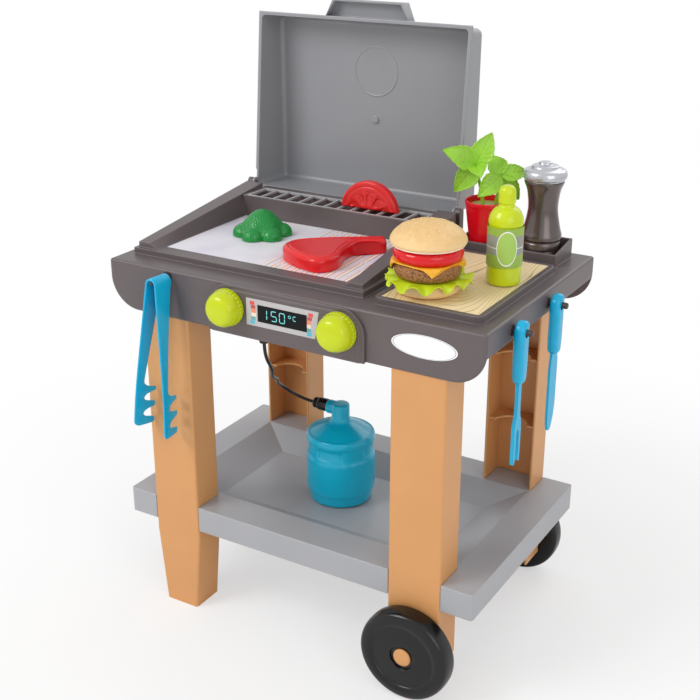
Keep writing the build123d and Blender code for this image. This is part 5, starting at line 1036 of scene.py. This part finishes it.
def leaf_surface(start, tip, face, width, sizes, arch=0.16, cup=0.22):
    """A leaf: its half width grows and falls along its length to a point, its middle arches up, its
    sides cup and the veins are shallow grooves. The back follows the front, one thickness behind."""
    start, tip = np.array(start, float), np.array(tip, float)
    along = tip - start
    size = np.linalg.norm(along)
    along = along / size
    normal = np.array(face, float) - along * np.dot(face, along)
    normal /= np.linalg.norm(normal)
    side = np.cross(along, normal)
    u = np.linspace(0, 1, 70)[:, None]
    v = np.linspace(-1, 1, 45)[None, :]
    half = width / 2 * np.sin(math.pi * u**0.72) ** 0.85 * (1 - 0.12 * u)
    bend = arch * size * np.sin(math.pi * u * 0.95) * 0.5
    lift = bend + cup * np.abs(v) ** 1.6 * half - 0.06 * size * u**2
    rib = np.exp(-((v * half / 0.8) ** 2))
    phase = u * 6.5 - np.abs(v) * 1.5
    ribs = np.exp(-(((phase - np.round(phase)) / 0.10) ** 2)) * (np.abs(v) > 0.08)
    groove = sizes.vein / MM * (rib * 1.2 + ribs * 0.8) * np.clip(half / 2, 0, 1)
    rim = 0.7 * np.exp(-(((np.abs(v) - 0.90) / 0.07) ** 2)) * np.clip(half / 3, 0, 1)
    thick = sizes.leaf / MM * np.clip(half / 2.0, 0.05, 1) * (1 - 0.75 * np.abs(v) ** 6)
    sweep = 1 + 0.03 * np.sin(u * 40 + np.sign(v)) * np.abs(v) ** 3
    middle = start + along * (u * size)[..., None] + side * (v * half * sweep)[..., None]
    front = middle + normal * (lift - groove + rim)[..., None]
    back = middle + normal * (lift - groove - thick)[..., None]
    return grid(shut(np.concatenate([front, back[:, ::-1]], axis=1)), wrap_columns=True)


def stem_surface(start, end, radius, sway):
    """A stem: circles along a line that bows a little to one side."""
    start, end = np.array(start, float), np.array(end, float)
    t = np.linspace(0, 1, 24)[:, None]
    path = start + (end - start) * t + np.array(sway, float) * np.sin(math.pi * t)
    angle = np.linspace(0, ROUND, 20, endpoint=False)
    size = radius * (1 + 0.35 * (1 - t))
    points = path[:, None] + np.stack([size * np.cos(angle), size * np.sin(angle), 0 * size * angle], -1)
    return grid(shut(points), wrap_columns=True)


# Each rosette: its node, its heart and the foot of its stem from the soil's middle, then its leaves
# as tip, facing direction and width, all in millimetres
BASIL = (
    ("basil_large", (-10.6, -12.9, 48.8), (-4.6, 0, -2), (
        ((-38.0, -42.0, 70.0), (0.35, -0.75, 0.55), 30),
        ((3.0, 0.0, 86.0), (0.45, -0.85, 0.25), 29),
        ((-31.0, -25.0, 17.0), (0.55, -0.8, 0.2), 28),
        ((6.0, -34.0, 42.0), (0.2, -0.6, 0.8), 24),
    )),
    ("basil_small", (15.6, 0, 37.7), (9.2, 0, -2), (
        ((41.0, 22.0, 41.0), (0.4, -0.75, 0.5), 22),
        ((34.0, 15.6, 7.0), (0.5, -0.85, 0.1), 24),
        ((-3.0, -20.0, 14.0), (0.45, -0.85, 0.25), 26),
        ((1.0, 12.0, 57.0), (0.45, -0.85, 0.2), 25),
    )),
)


class TROLLEY_OT_plant(bpy.types.Operator):
    """Make the pot and its basil"""

    bl_idname = "trolley.plant"
    bl_label = "Plant"

    def execute(self, context):
        sizes = context.scene.trolley_details
        red = glossy("Polypropylene, red pot", context.scene.trolley_colours.pot, 0.26, 12.0, 0.05, 0.03)
        (radius, height), base = extent("plant_pot"), foot("plant_pot")
        outline = [
            (0, 2, 0), (15, 2, 1.5), (17, 0, 0.8), (18.5, 0.4, 1), (radius * 0.965, height - 6.2, 0.5),
            (radius * 0.99, height - 5.4, 0.6), (radius, height - 0.8, 0.8), (radius - 1.4, height, 0.6),
            (radius - 2.0, height - 1.5, 0.8), (radius - 2.6, height - 9.8, 0.5), (0, height - 9.8, 0),
        ]
        add_piece("plant_pot_cup", lathe(outline, base), "plant", red, ("plant_pot",))
        soil = np.array([base[0], base[1], corners("plant_soil")[1][2]])
        disc = [
            (0, -2.6, 0), (22.6, -2.6, 0.5), (23.2, -0.6, 1.0), (21.0, 0.3, 2.0), (12.0, 1.2, 6.0),
            (0, 1.6, 0),
        ]
        olive = self.leaf_finish("Soft PVC, plant's base", linear("#9a9c52"))
        add_piece("plant_base", lathe(disc, soil), "plant", olive, ("plant_soil",))
        green = self.leaf_finish("Soft PVC, leaves", context.scene.trolley_food.leaves)
        for name, heart, ground, fans in BASIL:
            start = soil + np.array(heart)
            parts = [stem_surface(soil + np.array(ground, float), start, 1.7, (1.5, -1.0, 0))]
            for tip, face, width in fans:
                parts.append(leaf_surface(start, soil + np.array(tip), face, width, sizes))
            add_piece(f"{name}_leaves", joined(*parts), "plant", green, (name,), 60.0)
        return {"FINISHED"}

    def leaf_finish(self, name, base):
        """Soft PVC: satin, a little uneven in its green, and it lets a little light through."""
        material, tree, shader, place = new_material(name, base, 0.40)
        noise = node(tree, "TexNoise", {"Vector": place, "Scale": 1 / (16 * MM), "Detail": 2.5})
        tint = inked(tree, shade(base, 0.80), (noise, shade(base, 1.22)))
        tree.links.new(tint, shader.inputs["Base Color"])
        shader.inputs["Subsurface Weight"].default_value = 0.12
        shader.inputs["Subsurface Radius"].default_value = (0.003, 0.005, 0.001)
        fine = node(tree, "TexNoise", {"Vector": place, "Scale": 1 / (1.0 * MM), "Detail": 3.0})
        surface_bump(tree, shader, fine, 0.03)
        return material


def dome_height(radius, top, edge, r):
    """Height of a bun's crown at distance r: a flattened ellipse over the edge's height."""
    return edge + (top - edge) * np.clip(1 - (r / radius) ** 2.3, 0, 1) ** 0.62


class TROLLEY_OT_burger(bpy.types.Operator):
    """Make the layers of the burger"""

    bl_idname = "trolley.burger"
    bl_label = "Burger"

    # Radius and height as shares of the layer's own, then the rounding in millimetres
    BOTTOM = (
        (0, 0, 0), (0.72, 0, 4), (0.93, 0.19, 6), (1, 0.55, 6), (0.95, 0.95, 1.5), (0.9, 1, 1), (0, 1, 0)
    )
    SLICE = (
        (0, 0, 0), (0.90, 0, 2), (0.985, 0.22, 4), (1, 0.5, 5), (0.985, 0.78, 4), (0.90, 1, 2), (0, 1, 0)
    )
    PATTY = ((0, 0, 0), (0.90, 0, 4), (0.985, 0.5, 7), (0.90, 1, 4), (0, 1, 0))

    # The crown's lowest edge, the room over it for the seeds and a seed's half sizes, in millimetres
    CROWN_EDGE, SEED_ROOM, SEED = 6.0, 0.9, (1.25, 0.7, 0.4)
    GOLDEN_ANGLE = 2.39996

    def execute(self, context):
        food, sizes = context.scene.trolley_food, context.scene.trolley_details
        bun = self.bun_finish(food.bun)
        whole = "burger_bottom_bun"
        bottom = lathe(self.BOTTOM, foot(whole), segments=128, scale=extent(whole))
        add_piece("bun_bottom", bottom, "bottom_bun", bun, (whole,))
        self.lettuce(food, sizes)
        self.patty(food)
        self.cheese(food)
        red = glossy("Polyethylene, red slice", food.slice_red, 0.12, 14.0, 0.08, 0.05)
        disc = lathe(self.SLICE, foot("burger_tomato"), segments=128, scale=extent("burger_tomato"))
        add_piece("red_slice_disc", disc, "burger_slice", red, ("burger_tomato",))
        self.top(food, sizes, bun)
        return {"FINISHED"}

    def bun_finish(self, base):
        """Painted soft PVC: browned from above, paler towards the cut, with a fine baked grain."""
        material, tree, shader, place = new_material("Soft PVC, baked bun", base, 0.5)
        noise = node(tree, "TexNoise", {"Vector": place, "Scale": 1 / (7 * MM), "Detail": 5.0})
        normal = node(tree, "NewGeometry", None, "Normal")
        up = node(tree, "SeparateXYZ", {"Vector": normal}, "Z")
        crust = node(tree, "MapRange", {"Value": up, "From Min": -0.1, "From Max": 0.95})
        share = node(tree, "Math", {0: crust, 1: noise}, operation="MULTIPLY")
        tree.links.new(inked(tree, shade(base, 1.04), (share, rgba("#dfae68"))), shader.inputs["Base Color"])
        fine = node(tree, "TexNoise", {"Vector": place, "Scale": 1 / (1.1 * MM), "Detail": 3.0})
        surface_bump(tree, shader, fine, 0.12)
        return material

    def lettuce(self, food, sizes):
        """A leaf: flat in the middle; towards its edge waves of two lengths rise and the rim droops."""
        radius, count = extent("burger_lettuce")[0], sizes.frills
        angle = np.linspace(0, ROUND, 480, endpoint=False)[None, :]
        t = np.linspace(0, 1, 40)[:, None]
        flat_share, droop, level, thick = 0.74, 2.2, 1.6, 1.3
        frill = np.clip((t - flat_share) / (1 - flat_share), 0, 1) ** 1.3
        wave = np.sin(count * angle + 0.7 * np.sin(2 * angle)) + 0.2 * np.sin(2 * count * angle + 1.0)
        swell = 0.035 * np.sin(3 * angle) + 0.03 * np.sin(2 * count * angle + 0.5) - 0.015
        reach = radius * t * (1 + frill * swell)
        rise = sizes.frill / MM * frill * wave - droop * frill
        top = np.stack([reach * np.cos(angle), reach * np.sin(angle), level + rise], -1)
        sheet = np.concatenate([top, top[::-1] - (0, 0, thick)]) + foot("burger_lettuce")
        green = glossy("Soft PVC, lettuce", food.lettuce, 0.35, 5.0, 0.15, 0.1)
        surface = grid(sheet, wrap_columns=True)
        add_piece("lettuce_leaf", surface, "lettuce", green, ("burger_lettuce",), 60.0)

    def patty(self, food):
        """A thick disc whose radius and height are roughened by waves of many lengths."""
        base = food.patty
        material, tree, shader, place = new_material("Soft PVC, fried patty", base, 0.5)
        grain = node(tree, "TexVoronoi", {"Vector": place, "Scale": 1 / (2.2 * MM)})
        tree.links.new(inked(tree, shade(base, 1.35), (grain, rgba("#5b351d"))), shader.inputs["Base Color"])
        surface_bump(tree, shader, node(tree, "Math", {0: 1.0, 1: grain}, operation="SUBTRACT"), 0.9)
        segments, roughness = 240, 0.008
        outline = rounded(np.array(self.PATTY) * (*extent("burger_patty"), 1), 14)
        points = turned(outline, segments)
        angle = np.linspace(0, ROUND, segments, endpoint=False)[None, :]
        level = outline[:, 1:2]
        rough = np.sin(31 * angle + level) * np.sin(17 * angle - 1.7 * level)
        rough = rough + np.sin(53 * angle + 2.3 * level) * 0.5
        points[..., :2] *= (1 + roughness * rough)[..., None]
        surface = grid(points + foot("burger_patty"), wrap_columns=True)
        add_piece("patty_disc", surface, "patty", material, ("burger_patty",))

    def cheese(self, food):
        """A square sheet: past the patty's edge its corners bend down round a small radius and hang."""
        half, limit, bend, thick, steepest = 33.5, 36.0, 3.2, 1.6, math.pi / 2 * 0.93
        s = np.linspace(-half, half, 90)
        x, y = np.meshgrid(s, s, indexing="ij")
        turn = math.radians(-12.0)
        x, y = x * math.cos(turn) - y * math.sin(turn), x * math.sin(turn) + y * math.cos(turn)
        r = np.hypot(x, y) + 1e-9
        past = np.clip(r - limit, 0, None)
        curl = np.clip(past / bend, 0, steepest)
        rest = np.clip(past - bend * steepest, 0, None)
        reach = np.minimum(r, limit) + bend * np.sin(curl) + rest * math.cos(steepest)
        drop = bend * (1 - np.cos(curl)) + rest * math.sin(steepest)
        top = np.stack([x / r * reach, y / r * reach, thick - drop], -1)
        out = np.stack([x / r * np.sin(curl), y / r * np.sin(curl), np.cos(curl)], -1)
        ring = np.concatenate([top, (top - out * (thick - 0.1))[:, ::-1]], axis=1)
        yellow = glossy("Soft PVC, cheese", food.cheese, 0.38, 8.0, 0.08, 0.12)
        origin = np.array([*centre("burger_cheese")[:2], corners("burger_cheese")[1][2] - thick])
        surface = grid(shut(ring) + origin, wrap_columns=True)
        add_piece("cheese_sheet", surface, "cheese", yellow, ("burger_cheese",), 50.0)

    def top(self, food, sizes, bun):
        """The crown as a turned dome, the cream under it and seeds spread over it in a spiral."""
        base, (radius, height) = foot("burger_top_bun"), extent("burger_top_bun")
        height -= self.SEED_ROOM
        r = np.linspace(0, 1, 60) ** 0.8 * radius
        under = np.array([(0.992, 4.4), (0.965, 3.0), (0.93, 2.2), (0.5, 2.0), (0, 2.0)]) * (radius, 1)
        dome = dome_height(radius, height, self.CROWN_EDGE, r)
        crown = np.vstack([np.column_stack([r, dome]), under])
        surface = grid(turned(crown, 160) + base, wrap_columns=True)
        add_piece("bun_crown", surface, "top_bun", bun, ("burger_top_bun",), 60.0)
        cream = glossy("Soft PVC, cream", food.cream, 0.4, 6.0, 0.1, 0.1)
        ring = [(0, 0.2, 0), (0.86, 0.2, 0.5), (0.94, 1, 1), (0.955, 2.2, 0.8), (0.90, 3, 0.6), (0, 3, 0)]
        surface = lathe(ring, base, segments=128, scale=(radius, 1))
        add_piece("cream_edge", surface, "top_bun", cream)
        if sizes.seeds:
            pale = glossy("Soft PVC, sesame", food.seeds, 0.4, 3.0, 0.02)
            surface = self.seeds(sizes.seeds, base, radius, height)
            add_piece("sesame_seeds", surface, "top_bun", pale, sharp=60.0)

    def seeds(self, count, base, radius, height):
        """Ellipsoids with one golden angle between neighbours, each lying along the crown."""
        index = np.arange(count)
        r = radius * 0.93 * np.sqrt((index + 0.5) / count)
        bearing = index * self.GOLDEN_ANGLE + 0.35 * np.sin(index * 1.7)
        edge, step = self.CROWN_EDGE, 0.2
        inner, z, outer = (dome_height(radius, height, edge, r + aside) for aside in (-step, 0, step))
        slope = (outer - inner) / (2 * step)
        outward = np.stack([np.cos(bearing), np.sin(bearing), 0 * bearing], -1)
        normal = np.stack([-slope * outward[:, 0], -slope * outward[:, 1], np.ones(count)], -1)
        normal /= np.linalg.norm(normal, axis=1, keepdims=True)
        first = np.cross(normal, outward)
        first /= np.linalg.norm(first, axis=1, keepdims=True)
        spin = (index * 1.3)[:, None]
        long = first * np.cos(spin) + np.cross(normal, first) * np.sin(spin)
        frames = np.stack([long, np.cross(normal, long), normal], 1)
        middle = np.stack([r * outward[:, 0], r * outward[:, 1], z + 0.1], -1)
        lat = np.linspace(-math.pi / 2, math.pi / 2, 6)[:, None]
        lon = np.linspace(0, ROUND, 8, endpoint=False)[None, :]
        sphere = [np.cos(lat) * np.cos(lon), np.cos(lat) * np.sin(lon), np.sin(lat) + 0 * lon]
        ball, cells = grid(np.stack(sphere, -1) * self.SEED, wrap_columns=True)
        points = middle[:, None] + np.einsum("pk,skc->spc", ball, frames)
        faces = (np.array(cells)[None] + (index * len(ball))[:, None, None]).reshape(-1, 4).tolist()
        return points.reshape(-1, 3) + base, faces


class TROLLEY_OT_grill_food(bpy.types.Operator):
    """Make the meat, the green vegetable and the tomato slice"""

    bl_idname = "trolley.grill_food"
    bl_label = "Food on the grill"

    # The meat's outline as shares of its length and width: along, across and the corner's rounding
    CHOP = (
        (0, 0.67, 0.12), (0.12, 0.93, 0.12), (0.44, 1, 0.20), (1, 1, 0.035), (1, 0.785, 0.035),
        (0.72, 0.79, 0.10), (0.60, 0.54, 0.10), (0.53, 0.15, 0.11), (0.33, 0, 0.11), (0.11, 0.31, 0.20),
    )
    CHOP_SIZE = (123.0, 91.5)

    def execute(self, context):
        food = context.scene.trolley_food
        self.meat(food)
        self.vegetable(food)
        self.tomato(food)
        return {"FINISHED"}

    def meat(self, food):
        """A chop: a flat top with a rounded edge, and a shallow groove that runs along inside the edge."""
        red = glossy("Soft PVC, red meat", food.meat, 0.20, 14.0, 0.12, 0.06)
        low, high = corners("meat")
        inset, groove_width, edge_radius, under_radius = 7.0, 0.8, 5.5, 2.0
        corner = np.array(self.CHOP) * (*self.CHOP_SIZE, self.CHOP_SIZE[0])
        outline = resampled(rounded(corner, 12, True), 300)
        turn = math.radians(34.0)
        along = (math.cos(turn), math.sin(turn), 0)
        spread = placed(np.column_stack([outline, np.zeros(300)]), (0, 0, 0), (0, 0, 1), along)
        origin = np.array([high[0] - spread[:, 0].max(), low[1] - spread[:, 1].min(), low[2]])

        def front(x, y, d):
            groove = np.exp(-(((d - inset) / groove_width) ** 2)) * np.clip((d - 4.0) / 2.0, 0, 1)
            return round_edge(d, high[2] - low[2] - 0.4, edge_radius) - groove

        def back(x, y, d):
            return under_radius - round_edge(d, under_radius, under_radius)

        points = slab(outline[::-1], front, back, 80)
        surface = grid(placed(points, origin, (0, 0, 1), along), wrap_columns=True)
        add_piece("meat_chop", surface, "meat", red, ("meat",), 60.0)

    def vegetable(self, food):
        """A floret: six lobes with a rounded edge round a broad dome, all with small knobs."""
        green = glossy("Soft PVC, green vegetable", food.vegetable, 0.22, 2.5, 0.5, 0.04)
        tall = extent("green_vegetable")[1]
        angle = np.linspace(0, ROUND, 300, endpoint=False)
        lobes = np.abs(np.cos(3 * (angle - math.radians(33.0)))) ** 0.8
        core, lobe, shoulder, edge_radius, dome_radius = 27.0, 9.0, 14.0, 12.0, 25.0
        outline = (core + lobe * lobes)[:, None] * np.stack([np.cos(angle), np.sin(angle)], -1)

        def front(x, y, d):
            r = np.hypot(x, y)
            dome = (tall - shoulder - 0.5) * np.clip(1 - (r / dome_radius) ** 2, 0, 1) ** 1.1
            knobs = 0.35 * np.sin(x * 1.5 + 1.0) * np.sin(y * 1.5) * np.clip(d / 4, 0, 1)
            return round_edge(d, shoulder, edge_radius) + dome + knobs

        points = slab(outline, front, lambda x, y, d: 1.5 - round_edge(d, 1.5, 1.5), 70)
        surface = grid(points + foot("green_vegetable"), wrap_columns=True)
        hidden = ("green_vegetable",)
        add_piece("vegetable_floret", surface, "green_vegetable", green, hidden, 60.0)

    def tomato(self, food):
        """Half a slice on its cut edge: a raised skin, a flat face and seed chambers in two fans."""
        red = glossy("Soft PVC, tomato", food.tomato, 0.16, 8.0, 0.10, 0.08)
        low, high = corners("tomato_slice")
        radius, thick = 39.5, high[1] - low[1]
        cut = radius - (high[2] - low[2])
        chambers_at, seeds_at, skin_at = 20, 24, 33
        start = math.asin(cut / radius)
        angle = np.linspace(start, math.pi - start, 120)
        arc = np.stack([radius * np.cos(angle), radius * np.sin(angle) - cut, np.full(120, 0.4)], -1)
        outline = resampled(rounded(arc, 3, True), 280) * (0.995, 1.0)

        def relief(x, y, d):
            r = np.hypot(x, y + cut)
            bearing = np.arctan2(y + cut, x)
            fan = np.abs(np.sin(5.0 * bearing + 0.4))
            drop = np.exp(-(((r - chambers_at) / 7.5) ** 4)) * np.clip((fan - 0.45) / 0.2, 0, 1)
            seeds = np.exp(-(((r - seeds_at) / 1.6) ** 2)) * np.clip(np.sin(20 * bearing), 0, 1)
            ring = np.exp(-(((r - skin_at) / 1.2) ** 2))
            return round_edge(d, thick / 2, 2.6) - 1.5 * drop + 1.3 * seeds * drop - 0.7 * ring * (d > 3)

        points = slab(outline, relief, lambda x, y, d: -relief(x, y, d), 70)
        surface = grid(placed(points, foot("tomato_slice"), (0, -1, 0), (1, 0, 0)), wrap_columns=True)
        add_piece("tomato_half", surface, "tomato_slice", red, ("tomato_slice",), 60.0)


class TROLLEY_OT_stage(bpy.types.Operator):
    """Make the floor, the lamps, the world and the camera"""

    bl_idname = "trolley.stage"
    bl_label = "Stage"

    def execute(self, context):
        scene = context.scene
        scene.view_settings.view_transform = "Standard"
        self.camera(scene)
        self.floor()
        self.lamps()
        self.world(scene)
        return {"FINISHED"}

    def camera(self, scene):
        """Looks at the target from a bearing and a height angle, as far away as the photo was taken."""
        bearing, height, distance = 0.5389211, 0.3868328, 1430.6925
        focal_pixels, picture_width, sensor_width = 1191.4166, 700, 36.0
        target = np.array([-3.5791, 0.0, 328.549]) + SHIFT
        level = math.cos(height)
        back = np.array([math.sin(bearing) * level, -math.cos(bearing) * level, math.sin(height)])
        lens = bpy.data.cameras.new("camera")
        lens.sensor_width = sensor_width
        lens.lens = focal_pixels / picture_width * sensor_width
        lens.clip_start, lens.clip_end = 0.05, 100
        camera = bpy.data.objects.new("camera", lens)
        camera.location = Vector((target + back * distance) * MM)
        camera.rotation_euler = Vector(-back).to_track_quat("-Z", "Y").to_euler()
        scene.collection.objects.link(camera)
        scene.camera = camera

    def floor(self):
        """A wide square of white paper; away from the trolley the camera sees it as plain white."""
        reach = 30.0
        mesh = bpy.data.meshes.new("floor")
        square = [(-reach, -reach, 0), (reach, -reach, 0), (reach, reach, 0), (-reach, reach, 0)]
        mesh.from_pydata(square, [], [[0, 1, 2, 3]])
        paper, tree, shader, place = new_material("Paper, white backdrop", linear("#fbfbfb"), 0.9)
        noise = node(tree, "TexNoise", {"Vector": place, "Scale": 2.0})
        tint = inked(tree, rgba("#fafafa"), (noise, rgba("#fcfcfc")))
        tree.links.new(tint, shader.inputs["Base Color"])
        away = node(tree, "VectorMath", {0: place}, 1, operation="LENGTH")
        limits = {"Value": away, "From Min": 0.35, "From Max": 1.0, "To Min": 0.5, "To Max": 1.0}
        far = node(tree, "MapRange", limits, interpolation_type="SMOOTHSTEP")
        seen = node(tree, "LightPath", None, "Is Camera Ray")
        share = node(tree, "Math", {0: far, 1: seen}, operation="MULTIPLY")
        white = node(tree, "Emission", {"Color": (1, 1, 1, 1), "Strength": 1.0})
        both = node(tree, "MixShader", {0: share, 1: shader.outputs[0], 2: white})
        end = next(item for item in tree.nodes if item.type == "OUTPUT_MATERIAL")
        tree.links.new(both, end.inputs["Surface"])
        mesh.materials.append(paper)
        floor = bpy.data.objects.new("floor", mesh)
        bpy.context.scene.collection.objects.link(floor)

    def lamps(self):
        """Soft boxes: each is a square that looks at the middle of the trolley."""
        middle = Vector((0, 0, 0.38))
        for name, place, size, power in (
            ("key_lamp", (-1.3, -1.7, 2.1), 1.2, 30.0),
            ("fill_lamp", (1.9, -1.2, 1.2), 1.4, 10.0),
            ("rear_lamp", (0.4, 1.9, 1.8), 1.4, 9.0),
        ):
            lamp = bpy.data.lights.new(name, "AREA")
            lamp.size, lamp.energy = size, power
            box = bpy.data.objects.new(name, lamp)
            box.location = place
            box.rotation_euler = (middle - Vector(place)).to_track_quat("-Z", "Y").to_euler()
            bpy.context.scene.collection.objects.link(box)

    def world(self, scene):
        """White where the camera or glass sees it, less in a gloss, and softer light elsewhere."""
        world = bpy.data.worlds.new("studio")
        world.use_nodes = True
        tree = world.node_tree
        tree.nodes.clear()
        rays = node(tree, "LightPath", None, None).outputs
        gloss = node(tree, "Math", {0: rays["Is Glossy Ray"], 1: 0.7}, operation="MULTIPLY")
        seen = node(tree, "Math", {0: rays["Is Camera Ray"], 1: gloss}, operation="MAXIMUM")
        seen = node(tree, "Math", {0: seen, 1: rays["Is Transmission Ray"]}, operation="MAXIMUM")
        strength = node(tree, "MapRange", {"Value": seen, "To Min": 0.65, "To Max": 1.0})
        light = node(tree, "Background", {"Color": (1, 1, 1, 1), "Strength": strength})
        node(tree, "OutputWorld", {"Surface": light}, None)
        scene.world = world


PIECES = (
    TROLLEY_OT_gas,
    TROLLEY_OT_mouldings,
    TROLLEY_OT_cards,
    TROLLEY_OT_knobs,
    TROLLEY_OT_display,
    TROLLEY_OT_wheels,
    TROLLEY_OT_tongs,
    TROLLEY_OT_tools,
    TROLLEY_OT_sauce,
    TROLLEY_OT_mill,
    TROLLEY_OT_plant,
    TROLLEY_OT_burger,
    TROLLEY_OT_grill_food,
)


class TROLLEY_PT_panel(bpy.types.Panel):
    """Lists the trolley's pieces, colours and sizes"""

    bl_label = "Trolley"
    bl_idname = "TROLLEY_PT_panel"
    bl_space_type = "VIEW_3D"
    bl_region_type = "UI"
    bl_category = "Trolley"

    def draw(self, context):
        scene = context.scene
        for group in (scene.trolley_colours, scene.trolley_food, scene.trolley_details):
            box = self.layout.box()
            for key in group.__annotations__:
                box.prop(group, key)
        for operator in (TROLLEY_OT_stage, *PIECES):
            self.layout.operator(operator.bl_idname)


CLASSES = (TrolleyColours, FoodColours, DetailSizes, TROLLEY_OT_stage, *PIECES, TROLLEY_PT_panel)


def register():
    """Registers the classes and hangs the settings on the scene."""
    for item in CLASSES:
        bpy.utils.register_class(item)
    bpy.types.Scene.trolley_colours = PointerProperty(type=TrolleyColours)
    bpy.types.Scene.trolley_food = PointerProperty(type=FoodColours)
    bpy.types.Scene.trolley_details = PointerProperty(type=DetailSizes)


def unregister():
    """Takes the settings and the classes away again."""
    del bpy.types.Scene.trolley_details
    del bpy.types.Scene.trolley_food
    del bpy.types.Scene.trolley_colours
    for item in reversed(CLASSES):
        bpy.utils.unregister_class(item)


def main():
    """Registers the add-on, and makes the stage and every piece."""
    register()
    bpy.ops.trolley.stage()
    for operator in PIECES:
        getattr(bpy.ops.trolley, operator.bl_idname.split(".")[1])()


if __name__ == "__main__":
    main()
